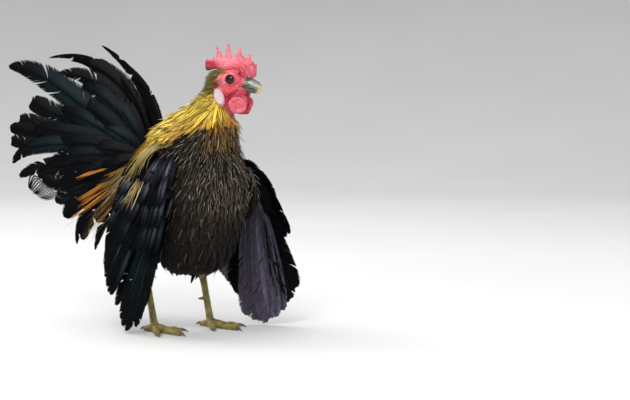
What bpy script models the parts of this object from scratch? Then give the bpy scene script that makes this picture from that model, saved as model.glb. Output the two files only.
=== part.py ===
"""A serama cock, life size, standing with its breast out, its tail open and its wings let down.

Lengths are in millimetres as the bird sees them: to its left, forward and up.
The function at() turns them into metres: left is +X, forward is -Y and up is +Z.
"""

import math

import bmesh
import bpy
from mathutils import Matrix, Vector

MM = 0.001
GAP = 0.35 * MM  # air between pieces that touch

# Trunk and neck: height, how far forward the middle is, half depth, half width
TRUNK = (
    (50, 14, 3, 3),
    (53, 14, 18, 17),
    (60, 14, 29, 27),
    (72, 15, 38, 35),
    (88, 17, 44, 40),
    (106, 19, 48, 43),
    (124, 21, 49.5, 44),
    (140, 22, 48, 42.5),
    (153, 20, 46, 39),
    (164, 17, 45, 36),
    (174, 18, 43, 32),
    (184, 25, 36, 27),
    (194, 33, 27, 21),
    (204, 42, 18, 15.5),
    (213, 49.5, 13.5, 11.5),
    (221, 55, 8, 7),
    (224, 56, 3, 3),
)
TRUNK_SIDES = 24
NECK_BASE = 165  # height of the cut between neck and torso
NECK_LEAN = 2  # the neck's top lies this far to the left

# Head: how far along the beak's line, height of the middle, half width, half height
HEAD = (
    (-18, 0.5, 4, 4),
    (-15, -1, 8, 8.5),
    (-9, -1.5, 10.2, 11.5),
    (-2, -1.5, 10.5, 12),
    (5, -2, 9.2, 11),
    (10, -2.5, 7.4, 9),
    (14, -3, 5.5, 6.8),
    (16.5, -3.2, 3.5, 4.2),
)
HEAD_PLACE = (2, 59, 223)
HEAD_TURN = math.radians(27)  # towards the bird's left
THROAT_POINT = (-24, 0, -8)  # on the cut under the head: along, to the left, up
THROAT_WAY = (-0.646, 0, -0.763)  # from the cut down into the neck
EYE = (4, 6.3, 2)  # along, aside, up
EYE_RADIUS = 5.2

# Bill: along, height of the middle, half width, half height
UPPER_BILL = (
    (11, -0.5, 5.2, 5),
    (16, -1, 4.5, 4.7),
    (21, -1.6, 3.6, 4.2),
    (25.5, -2.9, 2.6, 3.6),
    (29, -4.6, 1.4, 2.4),
)
UPPER_BILL_TIP = (31.2, 0, -7.6)
LOWER_BILL = ((9, -6.8, 4.4, 2.6), (15, -7.1, 3.6, 2.4), (21, -8.0, 2.5, 1.9), (26, -9.0, 1.3, 1.1))
LOWER_BILL_TIP = (28.4, 0, -9.2)
BILL_OPEN = 0.07  # the lower half drops this much for each millimetre along

# Comb: its wall, as along, middle height, half width, half height, and its points
COMB = (
    (-21, 13.5, 0.9, 3.2),
    (-16.5, 13.8, 2.0, 4.4),
    (-10, 14.0, 2.8, 6.5),
    (-2, 14.0, 3.3, 6.8),
    (8, 13.5, 3.4, 7.6),
    (15.5, 11.5, 3.2, 8.2),
    (21, 10, 2.8, 6.6),
    (24.8, 9.3, 1.7, 4.4),
)
# Each point of the comb: where it stands, where it ends, its height, its half width
COMB_POINTS = (
    (-17.5, -21, 20, 3),
    (-8.5, -11.4, 32, 3.8),
    (-4, -5.5, 25, 2.6),
    (0, -1.2, 33.8, 3.6),
    (7.5, 10, 30.5, 3.8),
    (14, 18.6, 23.2, 3.8),
    (19.5, 24.6, 15.5, 3.4),
)
WATTLES = {-1: ((9.6, 6, -18.2), (9, 10)), 1: ((10.6, 5.5, -19), (9.2, 9.8))}
EAR_LOBES = {-1: (-6.2, 10.8, -12.6), 1: (-4, 16.5, -12.5)}  # along, aside, up
LOBE_SIZE = (3.8, 8.2)
LOBE_LEAN = math.radians(27)

# Root of the tail: a cone that leaves the trunk's back
TAIL_START = (0, -5, 128)
TAIL_RISE = math.radians(37)
TAIL_LENGTH = 55
TAIL_CUT = 30  # the tail's halves begin here, along the cone
TAIL_HUB = (5, -40, 154)  # out, forward, up
TAIL_SPREAD = math.radians(37)  # each half opens this far from straight back
TAIL_LEAN = math.radians(12.7)  # and its face looks this far up

# Legs
FOOT_OUT = 27
STEP = 8  # the left foot is this far forward, the right foot this far back
HOCK_HEIGHT = 54
HOCK_BACK = 13
ANKLE_HEIGHT = 9
# Thigh: height, out, forward of the hock, radius, share of the step
THIGH = ((100, 22, 27, 17, 0), (85, 22.5, 21, 17, 0.2), (72, 24, 12, 14.5, 0.5), (62, 25.5, 4, 9.5, 0.9))
# Toes: length, turn outward from straight ahead
TOES = ((34, 0), (24, -38), (27, 35), (13, 180))
TOE_RADIUS = 3.1
CLAW_LENGTH = 7

# Outlines of feathers: share of the length, share of the half width
QUILL = ((0, 0.45), (0.25, 0.85), (0.55, 1.0), (0.8, 0.95), (0.94, 0.62))
SICKLE = ((0, 0.45), (0.2, 0.85), (0.42, 1.0), (0.64, 0.92), (0.83, 0.66), (0.95, 0.34))
COVERT = ((0, 0.55), (0.35, 1.0), (0.7, 0.92), (0.9, 0.6))
HACKLE = ((0, 0.6), (0.35, 1.0), (0.7, 0.7))
SPIKE = ((0, 1.0), (0.4, 0.85), (0.75, 0.36))

# Tail feathers of one half: angle above level, reach, half width, lift off the fan
MAIN_TAIL = (
    (66, 106, 8, 0),
    (54, 102, 11, 0),
    (43, 104, 13, 0),
    (26, 128, 14, 0),
    (13, 134, 14, 0),
    (-2, 128, 13, 0),
    (-12, 120, 12, 0),
    (-26, 116, 11, 0),
)
SICKLES = ((32, 156, 16, 4.5), (19, 114, 9, 6.5), (4, 106, 9, 6.5), (-9, 98, 8, 6.5))
TAIL_COVERTS = ((-38, 104, 8, 2), (-50, 98, 8, 3.5), (50, 70, 9, 4), (-24, 82, 8, 6.5))
LONG_SICKLE = {
    -1: ((2.5, -36, 156), (4, -16, 254), (24, -154, 244)),
    1: ((2.5, -36, 156), (4, -20, 238), (26, -118, 234)),
}

# Hackles: how many in each tier, then the height of the cape's end at the side,
# and how much lower it ends in front and behind
HACKLE_TIERS = (11, 12, 14, 15)
CAPE_END = 172
CAPE_DROP = (4, 4)
SADDLE_COUNT = 9

# Wings: the arm's middle, half sizes and turn in degrees, then rows of feathers.
# A row has a count, the ends of its line of roots, three points of the arc of its tips,
# the way it faces, its first and last half widths, an outline, a bow and a twist in degrees.
RIGHT_ARM = ((41, 6, 124), (8.5, 31, 29), 4)
RIGHT_ROWS = (
    (8, ((43, 26, 102), (42, 14, 124)), ((52, 10, 32), (56, -18, -16), (54, -31, 22)),
     (1, 0.25, 0.15), (7, 8.5), QUILL, 2, -11),
    (6, ((45, 8, 118), (41, -16, 130)), ((61, -30, 18), (60, -43, 42), (54, -40, 74)),
     (1, 0.1, 0.15), (10, 10), QUILL, 4, -10),
    (6, ((46, 29, 118), (44, -14, 134)), ((56, 21, 68), (66, -10, 72), (60, -32, 92)),
     (1, 0.2, 0.2), (8.5, 8.5), COVERT, 4, -9),
    (5, ((45, 29, 134), (42, -8, 141)), ((57, 27, 94), (65, 4, 98), (60, -24, 116)),
     (1, 0.2, 0.3), (8.5, 8.5), COVERT, 5, -9),
    (4, ((41, 25, 147), (38, -8, 148)), ((54, 26, 114), (61, 8, 112), (56, -20, 132)),
     (1, 0.2, 0.4), (9, 9), COVERT, 5, -9),
)
LEFT_ARM = ((47, 30, 126), (8.5, 29, 27), -18)
LEFT_ROWS = (
    (8, ((60, 48, 106), (49, 38, 124)), ((84, 62, 36), (74, 46, -6), (61, 22, 4)),
     (0.935, -0.35, 0.1), (7, 8.5), QUILL, 3, -11),
    (6, ((51, 34, 122), (45, 6, 132)), ((64, 14, 20), (62, -12, 44), (56, -36, 74)),
     (0.96, -0.25, 0.1), (10, 10), QUILL, 4, -10),
    (6, ((54, 47, 134), (46, 10, 140)), ((78, 58, 86), (79, 40, 60), (64, -6, 92)),
     (0.95, -0.3, 0.1), (8, 9), COVERT, 3, -9),
    (5, ((48, 44, 146), (42, 12, 148)), ((66, 52, 116), (72, 32, 102), (60, 0, 120)),
     (0.95, -0.3, 0.3), (8, 9), COVERT, 4, -9),
)

# Colours of the nodes: red, green, blue, then roughness
SKIN_RED = ((0.62, 0.05, 0.07), 0.45)
HACKLE_GOLD = ((0.62, 0.40, 0.06), 0.6)
BODY_DARK = ((0.035, 0.025, 0.02), 0.7)
PLUME_BLACK = ((0.012, 0.016, 0.02), 0.4)
HORN = ((0.45, 0.38, 0.16), 0.35)
LOBE_WHITE = ((0.85, 0.78, 0.74), 0.5)
EYE_BROWN = ((0.05, 0.02, 0.01), 0.08)
LEG_OLIVE = ((0.38, 0.33, 0.10), 0.55)
CLAW_DARK = ((0.06, 0.05, 0.04), 0.4)


def at(left, forward, up):
    """A point, or a way, given in millimetres as the bird sees it."""
    return Vector((left, -forward, up)) * MM


def beside(side, out, forward, up):
    """The same for one side of the bird: side is 1 for its left and -1 for its right."""
    return at(side * out, forward, up)


def clear_scene():
    for obj in list(bpy.data.objects):
        bpy.data.objects.remove(obj)


def solid(name, bm):
    """Turn a bmesh into an object whose faces point out."""
    bmesh.ops.recalc_face_normals(bm, faces=bm.faces)
    mesh = bpy.data.meshes.new(name)
    bm.to_mesh(mesh)
    bm.free()
    obj = bpy.data.objects.new(name, mesh)
    bpy.context.scene.collection.objects.link(obj)
    return obj


def loft(name, rings):
    """A closed solid through rings of points. A ring of one point is a tip."""
    bm = bmesh.new()
    rows = [[bm.verts.new(point) for point in ring_points] for ring_points in rings]
    for low, high in zip(rows, rows[1:]):
        for i in range(max(len(low), len(high))):
            here = (low[i % len(low)], low[(i + 1) % len(low)])
            there = (high[(i + 1) % len(high)], high[i % len(high)])
            bm.faces.new(list(dict.fromkeys(here + there)))
    for row in (rows[0], rows[-1]):
        if len(row) > 2:
            bm.faces.new(row)
    return solid(name, bm)


def ring(middle, across, upward, sides):
    """Points on an ellipse about a middle point, from its two half axes."""
    turns = [2 * math.pi * i / sides for i in range(sides)]
    return [middle + across * math.cos(turn) + upward * math.sin(turn) for turn in turns]


def level_ring(middle, radius, sides=12):
    return ring(middle, at(radius, 0, 0), at(0, radius, 0), sides)


def ball(name, middle, sizes, turn=0.0, sides=16):
    """An ellipsoid with half sizes along left, forward and up, turned about the upright."""
    bm = bmesh.new()
    place = Matrix.Translation(middle) @ Matrix.Rotation(turn, 4, "Z")
    shape = Matrix.Diagonal(Vector(sizes) * MM).to_4x4()
    bmesh.ops.create_uvsphere(
        bm, u_segments=sides, v_segments=sides // 2 + 2, radius=1, matrix=place @ shape
    )
    return solid(name, bm)


def applied(obj):
    """Replace an object's mesh by what its modifiers make of it."""
    graph = bpy.context.evaluated_depsgraph_get()
    mesh = bpy.data.meshes.new_from_object(obj.evaluated_get(graph))
    obj.modifiers.clear()
    obj.data = mesh


def bodies_of(bm):
    """The closed surfaces of a mesh, each as its list of faces."""
    left = set(bm.faces)
    bodies = []
    while left:
        body = [left.pop()]
        for face in body:
            for edge in face.edges:
                near = [other for other in edge.link_faces if other in left]
                left.difference_update(near)
                body.extend(near)
        bodies.append(body)
    return bodies


def keep_largest(obj):
    """Keep only the largest closed surface of an object."""
    bm = bmesh.new()
    bm.from_mesh(obj.data)
    bodies = sorted(bodies_of(bm), key=lambda body: sum(face.calc_area() for face in body))
    extra = [face for body in bodies[:-1] for face in body]
    bmesh.ops.delete(bm, geom=extra, context="FACES")
    bm.to_mesh(obj.data)
    bm.free()
    return obj


def fuse(name, pieces, solver="EXACT"):
    """One closed body from pieces that overlap."""
    base = pieces[0]
    base.name = name
    group = bpy.data.collections.new("pieces")
    bpy.context.scene.collection.children.link(group)
    for piece in pieces[1:]:
        group.objects.link(piece)
    join = base.modifiers.new("join", "BOOLEAN")
    join.operation = "UNION"
    join.operand_type = "COLLECTION"
    join.collection = group
    join.solver = solver
    applied(base)
    for piece in pieces[1:]:
        bpy.data.objects.remove(piece)
    bpy.data.collections.remove(group)
    return keep_largest(base)


def carve(obj, cutters, solver="EXACT"):
    """Take cutters away from an object."""
    for cutter in cutters:
        cut = obj.modifiers.new("cut", "BOOLEAN")
        cut.operation = "DIFFERENCE"
        cut.object = cutter
        cut.solver = solver
        applied(obj)
    return keep_largest(obj)


def copy_of(obj, name):
    twin = bpy.data.objects.new(name, obj.data.copy())
    bpy.context.scene.collection.objects.link(twin)
    return twin


def grown(obj, by=GAP):
    """A helper a little larger than an object all round, to carve its neighbours with."""
    helper = copy_of(obj, "helper_" + obj.name)
    helper.hide_render = True
    helper.display_type = "WIRE"
    bm = bmesh.new()
    bm.from_mesh(helper.data)
    bm.normal_update()
    moves = [(vert, vert.normal * by * vert.calc_shell_factor()) for vert in bm.verts]
    for vert, move in moves:
        vert.co += move
    bm.to_mesh(helper.data)
    bm.free()
    return helper


def trim(obj, point, way):
    """Cut a solid with a plane, keep the side that the way points to and close the cut."""
    bm = bmesh.new()
    bm.from_mesh(obj.data)
    everything = bm.verts[:] + bm.edges[:] + bm.faces[:]
    cut = bmesh.ops.bisect_plane(
        bm, geom=everything, plane_co=point, plane_no=way, clear_inner=True, dist=1e-7
    )
    rim = [item for item in cut["geom_cut"] if isinstance(item, bmesh.types.BMEdge)]
    bmesh.ops.holes_fill(bm, edges=rim, sides=0)
    bmesh.ops.recalc_face_normals(bm, faces=bm.faces)
    bm.to_mesh(obj.data)
    bm.free()
    return obj


def arc_point(points, t):
    """A point on the smooth arc that three points draw."""
    start, middle, end = points
    return start * (1 - t) ** 2 + middle * 2 * t * (1 - t) + end * t**2


def vane(points, face, half_width, form, thick=1.0, cup=0.05, twist=0.0):
    """A flat feather along an arc: a lens across, with a pointed end.

    The face is the way its outer side looks, and the twist turns it about its shaft.
    """
    bm = bmesh.new()
    root, bend, tip = points
    rows = []
    for t, share in form:
        place = arc_point(points, t)
        along = ((bend - root) * (1 - t) + (tip - bend) * t).normalized()
        out = (face - along * face.dot(along)).normalized()
        out = Matrix.Rotation(twist, 3, along) @ out
        reach = along.cross(out) * half_width * share * MM
        drop = out * cup * half_width * share * MM
        half = out * thick / 2 * (1 - 0.4 * t) * MM
        corners = (place - reach - drop, place + half, place + reach - drop, place - half)
        rows.append([bm.verts.new(corner) for corner in corners])
    end = bm.verts.new(tip)
    for low, high in zip(rows, rows[1:]):
        for edge in (0, 2):
            for middle in (1, 3):
                bm.faces.new((low[edge], low[middle], high[middle]))
                bm.faces.new((low[edge], high[middle], high[edge]))
    for i in range(4):
        bm.faces.new((rows[-1][i], rows[-1][(i + 1) % 4], end))
    for edge in (0, 2):
        bm.faces.new((rows[0][edge], rows[0][1], rows[0][3]))
    return solid("vane", bm)


def feather_row(count, roots, tips, face, widths, form, bow=0.0, twist=0.0):
    """Feathers side by side, from roots on one line to tips on an arc."""
    feathers = []
    outward = face.normalized()
    for i in range(count):
        t = i / (count - 1)
        root = roots[0].lerp(roots[1], t)
        tip = arc_point(tips, t)
        bend = root.lerp(tip, 0.5) + outward * bow * MM
        half = widths[0] + (widths[1] - widths[0]) * t
        feathers.append(vane((root, bend, tip), outward, half, form, twist=twist))
    return feathers


def trunk_at(up):
    """The trunk's middle, half depth and half width at a height, between its two nearest rows."""
    up = min(max(up, TRUNK[0][0]), TRUNK[-1][0])
    low, high = [pair for pair in zip(TRUNK, TRUNK[1:]) if up <= pair[1][0]][0]
    t = (up - low[0]) / (high[0] - low[0])
    return [a + (b - a) * t for a, b in zip(low[1:], high[1:])]


def skin(up, turn, off=0.0):
    """A point on the trunk or neck. The turn is 0 in front and grows to the left."""
    middle, deep, wide = trunk_at(up)
    lean = NECK_LEAN * min(max((up - NECK_BASE) / 60, 0), 1)
    left = lean + (wide + off) * math.sin(turn)
    return at(left, middle + (deep + off) * math.cos(turn), up)


def head_point(along, left, up):
    """A point given in the head's own frame, turned and placed in the world."""
    return at(*HEAD_PLACE) + Matrix.Rotation(HEAD_TURN, 3, "Z") @ at(left, along, up)


def head_way(along, left, up):
    """A way given in the head's own frame."""
    return (head_point(along, left, up) - head_point(0, 0, 0)).normalized()


def head_ring(along, up, wide, high, sides=20):
    across = head_way(0, 1, 0) * wide * MM
    return ring(head_point(along, 0, up), across, Vector((0, 0, high * MM)), sides)


def make_trunk():
    turns = [2 * math.pi * i / TRUNK_SIDES for i in range(TRUNK_SIDES)]
    return loft("trunk", [[skin(row[0], turn) for turn in turns] for row in TRUNK])


def make_skull():
    return loft("skull", [head_ring(*row) for row in HEAD])


def tail_way():
    return Vector((0, math.cos(TAIL_RISE), math.sin(TAIL_RISE)))


def make_tail_root():
    """The cone of flesh that carries the tail's feathers."""
    rise = Vector((0, -math.sin(TAIL_RISE), math.cos(TAIL_RISE)))
    rings = []
    for share, wide, high in ((0, 26, 22), (0.35, 20, 17), (0.7, 12, 10.5), (1, 5, 4)):
        middle = at(*TAIL_START) + tail_way() * TAIL_LENGTH * share * MM
        rings.append(ring(middle, at(wide, 0, 0), rise * high * MM, 16))
    return loft("tail_root", rings)


def eye_place(side):
    along, aside, up = EYE
    return head_point(along, side * aside, up)


def make_head(core):
    """The head with its lids raised round the sockets."""
    point, way = head_point(*THROAT_POINT), head_way(*THROAT_WAY)
    head = trim(core, point - way * GAP / 2, -way)
    along, aside, up = EYE
    lids = []
    sockets = []
    for side in (-1, 1):
        lids.append(make_lid(head_point(along, side * (aside + 3.4), up), head_way(0, side, 0)))
        sockets.append(ball("socket", eye_place(side), [EYE_RADIUS + GAP / MM] * 3, sides=14))
    head = carve(fuse("head", [head] + lids), sockets)
    for socket in sockets:
        bpy.data.objects.remove(socket)
    return head


def make_lid(middle, way):
    """A soft ring round the eye."""
    bm = bmesh.new()
    turn = way.to_track_quat("Z", "Y").to_matrix().to_4x4()
    place = Matrix.Translation(middle) @ turn
    hoop = bmesh.ops.create_circle(
        bm, segments=8, radius=1.1 * MM, matrix=place @ Matrix.Translation((4.3 * MM, 0, 0))
        @ Matrix.Rotation(math.pi / 2, 4, "X")
    )
    edges = list({edge for vert in hoop["verts"] for edge in vert.link_edges})
    bmesh.ops.spin(
        bm, geom=hoop["verts"] + edges, cent=middle, axis=way, angle=2 * math.pi,
        steps=16, use_merge=True, use_duplicate=False
    )
    bmesh.ops.remove_doubles(bm, verts=bm.verts, dist=0.02 * MM)
    return solid("lid", bm)


def mouth(along):
    """Height of the mouth's line at a place along the bill."""
    return -4.3 - 0.0055 * (along - 9) ** 2


def bill_ring(along, up, wide, high, lowest, highest):
    """A ring of the bill, cut flat where it meets the mouth's line."""
    points = []
    for i in range(14):
        turn = 2 * math.pi * i / 14
        height = min(max(up + high * math.sin(turn), lowest), highest)
        points.append(head_point(along, wide * math.cos(turn), height))
    return points


def make_upper_bill(skull_helper):
    rings = [bill_ring(*row, mouth(row[0]), 99) for row in UPPER_BILL]
    bill = loft("beak_upper", rings + [[head_point(*UPPER_BILL_TIP)]])
    bill = carve(bill, [skull_helper])
    nostrils = []
    for side in (-1, 1):
        nostrils.append(ball("nostril", head_point(19, side * 3.9, -0.6), (1.1, 1.6, 0.8), HEAD_TURN, 8))
    bill = carve(bill, nostrils)
    for nostril in nostrils:
        bpy.data.objects.remove(nostril)
    return bill


def make_lower_bill(skull_helper):
    rings = []
    for row in LOWER_BILL:
        top = mouth(row[0]) - 0.4 - BILL_OPEN * (row[0] - 9)
        rings.append(bill_ring(*row, -99, top))
    bill = loft("beak_lower", rings + [[head_point(*LOWER_BILL_TIP)]])
    return carve(bill, [skull_helper])


def make_comb(helpers):
    """The comb: a thick wall over the skull with tapered points."""
    wall = loft("wall", [head_ring(*row, sides=12) for row in COMB])
    points = []
    for i, (root, end, height, half_width) in enumerate(COMB_POINTS):
        lean = 0.8 * (-1) ** i
        middle = head_point((root + end) / 2, 0, (14 + height) / 2)
        line = (head_point(root, 0, 14), middle, head_point(end, lean, height))
        points.append(vane(line, head_way(0, -1, 0), half_width, SPIKE, thick=4, cup=0))
    return carve(fuse("comb", [wall] + points), helpers)


def disc(name, middle, along, upward, out, sizes, thick, folds):
    """A fleshy disc with a thick rim and a hollow face, its edge in soft folds."""
    profile = ((0.0, 0.55), (0.45, 0.6), (0.78, 1.0), (0.95, 0.7), (1.03, 0.0))
    rings = []
    whole = profile + tuple((reach, -depth) for reach, depth in profile[-2::-1])
    for reach, depth in whole:
        points = []
        for i in range(18 if reach else 1):
            turn = 2 * math.pi * i / 18
            wave = 1 + folds * reach * math.sin(5 * turn)
            across = along * math.cos(turn) * sizes[0] * reach * wave
            high = upward * math.sin(turn) * sizes[1] * reach * wave
            ruffle = 1.6 * folds * reach * math.cos(4 * turn) * 10
            points.append(middle + (across + high + out * (depth * thick + ruffle)) * MM)
        rings.append(points)
    return loft(name, rings)


def make_wattle(side, name, helpers):
    (along, aside, up), sizes = WATTLES[side]
    out = (head_way(0, side, 0) + Vector((0, 0, -0.1))).normalized()
    hang = out.cross(head_way(1, 0, 0)).normalized()
    middle = head_point(along, side * aside, up)
    flap = disc(name, middle, head_way(1, 0, 0), hang, out, sizes, 1.9, 0.06)
    return carve(flap, helpers)


def make_ear_lobe(side, name, helpers):
    along, aside, up = EAR_LOBES[side]
    out = (head_way(-0.25, side, 0.1)).normalized()
    lean = head_way(-math.sin(LOBE_LEAN), 0, math.cos(LOBE_LEAN))
    across = out.cross(lean).normalized()
    lean = across.cross(out).normalized()
    middle = head_point(along, side * aside, up)
    return carve(disc(name, middle, across, lean, out, LOBE_SIZE, 1.9, 0.0), helpers)


def neck_height(turn, below):
    """The height at which the skin lies a distance under the head's cut."""
    point, way = head_point(*THROAT_POINT), head_way(*THROAT_WAY)
    up = TRUNK[-1][0]
    while (skin(up, turn) - point).dot(way) < below * MM and up > NECK_BASE:
        up -= 0.5
    return up


def hackle(turn, share):
    """One hackle on the neck, from a sunk root down over the ones below.

    The share is 0 for the highest tier and 1 for the lowest.
    """
    ahead, behind = max(math.cos(turn), 0), max(-math.cos(turn), 0)
    back = (1 - math.cos(turn)) / 2
    cape_end = CAPE_END - CAPE_DROP[0] * ahead - CAPE_DROP[1] * behind**2
    top, low = neck_height(turn, 5), cape_end + 12 + 14 * back
    start = top + (low - top) * share
    end = (top - 10 - 12 * back) * (1 - share) + cape_end * share
    lift = 4.7 - 1.5 * behind**3
    root, tip = skin(start, turn, -1.5), skin(end, turn, lift)
    bend = skin((start + end) / 2, turn, lift / 2)
    face = skin(start, turn, 10) - skin(start, turn) + at(0, 0, 6)
    half_width = 4.8 - 1.2 * ahead
    return vane((root, bend, tip), face, half_width, HACKLE, thick=0.8, twist=math.radians(10))


def make_neck(core):
    """The neck with its cape of pointed hackles, in tiers."""
    point, way = head_point(*THROAT_POINT), head_way(*THROAT_WAY)
    neck = trim(core, point + way * GAP / 2, way)
    trim(neck, at(0, 0, NECK_BASE) + at(0, 0, 1) * GAP / 2 / MM, Vector((0, 0, 1)))
    hackles = []
    last = len(HACKLE_TIERS) - 1
    for tier, count in enumerate(HACKLE_TIERS):
        for i in range(count):
            turn = 2 * math.pi * (i + 0.5 * (tier % 2)) / count
            if tier in (0, last) or math.cos(turn) < 0.4:
                hackles.append(hackle(turn, tier / last))
    return fuse("neck", [neck] + hackles, "MANIFOLD")


def saddle_row(side):
    """The hackles that hang from the back beside the tail."""
    feathers = []
    tips = [beside(side, *point) for point in ((24, -38, 148), (52, -74, 118), (42, -60, 80))]
    for i in range(SADDLE_COUNT):
        t = i / (SADDLE_COUNT - 1)
        up, turn = 145 - 17 * t, side * math.radians(152 - 12 * t)
        root, tip = skin(up, turn, -2), arc_point(tips, t)
        face = skin(up, turn, 10) - skin(up, turn)
        bend = root.lerp(tip, 0.5) + face.normalized() * 5 * MM
        feathers.append(vane((root, bend, tip), face, 4.8, HACKLE))
    return feathers


def make_torso(core, root):
    """The trunk below the neck, with the near part of the tail's root."""
    trim(root, tail_cut() - tail_way() * GAP / 2, -tail_way())
    trunk = fuse("torso", [core, root])
    torso = trim(trunk, at(0, 0, NECK_BASE) - at(0, 0, 1) * GAP / 2 / MM, Vector((0, 0, -1)))
    return fuse("torso", [torso] + saddle_row(-1) + saddle_row(1), "MANIFOLD")


def tail_cut():
    return at(*TAIL_START) + tail_way() * TAIL_CUT * MM


def fan_axes(side):
    """The open tail's own frame on one side: back and out, up along its face, and off its face."""
    back = Vector((side * math.sin(TAIL_SPREAD), math.cos(TAIL_SPREAD), 0))
    flat = Vector((side * math.cos(TAIL_SPREAD), -math.sin(TAIL_SPREAD), 0))
    off = flat * math.cos(TAIL_LEAN) + Vector((0, 0, math.sin(TAIL_LEAN)))
    up = flat * -math.sin(TAIL_LEAN) + Vector((0, 0, math.cos(TAIL_LEAN)))
    return back, up, off


def fan_feather(side, angle, reach, half_width, lift, form):
    """A tail feather that leaves the hub at an angle above level, lapped like a roof tile."""
    back, up, off = fan_axes(side)
    turn = math.radians(angle)
    along = back * math.cos(turn) + up * math.sin(turn)
    rising = up * math.cos(turn) - back * math.sin(turn)
    root = beside(side, *TAIL_HUB) + off * lift * MM
    tip = root + along * reach * MM + off * lift * 0.6 * MM
    bend = root.lerp(tip, 0.5) + rising * 6 * MM + off * 2 * MM
    return vane((root, bend, tip), off, half_width, form, twist=side * math.radians(9))


def make_tail_half(root, side, name, helper):
    half = trim(root, tail_cut() + tail_way() * GAP / 2, tail_way())
    trim(half, at(side * GAP / 2 / MM, 0, 0), Vector((side, 0, 0)))
    feathers = [fan_feather(side, *row, QUILL) for row in MAIN_TAIL]
    feathers += [fan_feather(side, *row, SICKLE) for row in SICKLES]
    feathers += [fan_feather(side, *row, COVERT) for row in TAIL_COVERTS]
    line = [beside(side, *point) for point in LONG_SICKLE[side]]
    feathers.append(vane(line, at(side, 0.2, 0.2), 5.5, SICKLE))
    return carve(fuse(name, [half] + feathers, "MANIFOLD"), [helper], "MANIFOLD")


def make_wing(side, name, arm, rows, helper):
    """A wing let down at the flank: a flat arm with rows of feathers over one another."""
    feathers = []
    for count, roots, tips, face, widths, form, bow, twist in rows:
        feathers += feather_row(
            count,
            [beside(side, *point) for point in roots],
            [beside(side, *point) for point in tips],
            beside(side, *face),
            widths,
            form,
            bow,
            side * math.radians(twist),
        )
    middle, sizes, turn = arm
    base = ball(name, beside(side, *middle), sizes, side * math.radians(turn), 16)
    return carve(fuse(name, [base] + feathers, "MANIFOLD"), [helper], "MANIFOLD")


def foot_place(side):
    return beside(side, FOOT_OUT, side * STEP, 0)


def hock_place(side):
    return foot_place(side) + at(0, -HOCK_BACK, HOCK_HEIGHT)


def make_thigh(side, name, helper):
    rings = []
    for up, out, ahead, radius, share in THIGH:
        middle = beside(side, out, ahead - HOCK_BACK + side * STEP * share, up)
        rings.append(level_ring(middle, radius, 16))
    rings.append(level_ring(hock_place(side) + at(0, 0, GAP / MM), 5.6, 16))
    return carve(loft(name, rings), [helper])


def make_shank(side, name):
    """The scaled shank, its rings proud and sunk in turn, with a short spur inside."""
    top, bottom = hock_place(side), foot_place(side) + at(0, 0, ANKLE_HEIGHT + GAP / MM)
    rings = []
    count = 10
    for i in range(count):
        t = i / (count - 1)
        radius = 3.3 + 1.7 * (1 - t) ** 6 + 0.5 * t**4 + (0.15 if i % 2 else -0.1)
        rings.append(level_ring(top.lerp(bottom, t), radius, 10))
    shank = loft(name, rings)
    root = top.lerp(bottom, 0.6)
    spur = loft("spur", [
        ring(root, at(0, 1.6, 0), at(0, 0, 1.6), 8),
        ring(root + beside(side, -4, -2.5, -0.5), at(0, 1.5, 0), at(0, 0, 1.5), 8),
        [root + beside(side, -6.5, -4.5, -0.5)],
    ])
    return fuse(name, [shank, spur])


def toe_way(side, turn):
    angle = math.radians(turn)
    return beside(side, math.sin(angle), math.cos(angle), 0).normalized()


def standing_ring(middle, way, radius, sides=8):
    """A ring of a toe, with its points below the floor brought up to it."""
    across = way.cross(Vector((0, 0, 1)))
    points = ring(middle, across * radius * MM, Vector((0, 0, radius * MM)), sides)
    return [Vector((point.x, point.y, max(point.z, 0.0))) for point in points]


def make_foot(side, name):
    hub = foot_place(side)
    base = loft(name, [
        level_ring(hub, 3.2),
        level_ring(hub + at(0, 0, 2.5), 5.0),
        level_ring(hub + at(0, 0, 6), 4.6),
        level_ring(hub + at(0, 0, ANKLE_HEIGHT), 3.9),
    ])
    toes = []
    for length, turn in TOES:
        way = toe_way(side, turn)
        rings = []
        for i in range(6):
            t = i / 5
            radius = TOE_RADIUS - 1.0 * t + (0.2 if i % 2 else -0.1)
            middle = hub + way * length * t * MM + at(0, 0, radius - 0.5 + 1.4 * (1 - t) ** 2)
            rings.append(standing_ring(middle, way, radius))
        toes.append(loft("toe", rings))
    return fuse(name, [base] + toes)


def make_claw(side, name, length, turn):
    """A claw that leaves the end of its toe and curves down towards the floor."""
    way = toe_way(side, turn)
    start = foot_place(side) + way * (length * MM + GAP)
    rings = []
    for t, radius, up in ((0, 1.5, 1.9), (0.35, 1.3, 2.1), (0.7, 0.8, 1.5)):
        middle = start + way * CLAW_LENGTH * t * MM + at(0, 0, up)
        rings.append(standing_ring(middle, way, radius, 8))
    tip = start + way * CLAW_LENGTH * MM + at(0, 0, 0.4)
    return loft(name, rings + [[tip]])


def colour(obj, look, metallic=0.0):
    """Give a node its own material."""
    shade, roughness = look
    material = bpy.data.materials.new(obj.name)
    material.use_nodes = True
    shader = material.node_tree.nodes["Principled BSDF"]
    shader.inputs["Base Color"].default_value = (*shade, 1)
    shader.inputs["Roughness"].default_value = roughness
    shader.inputs["Metallic"].default_value = metallic
    material.diffuse_color = (*shade, 1)
    obj.data.materials.clear()
    obj.data.materials.append(material)


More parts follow.
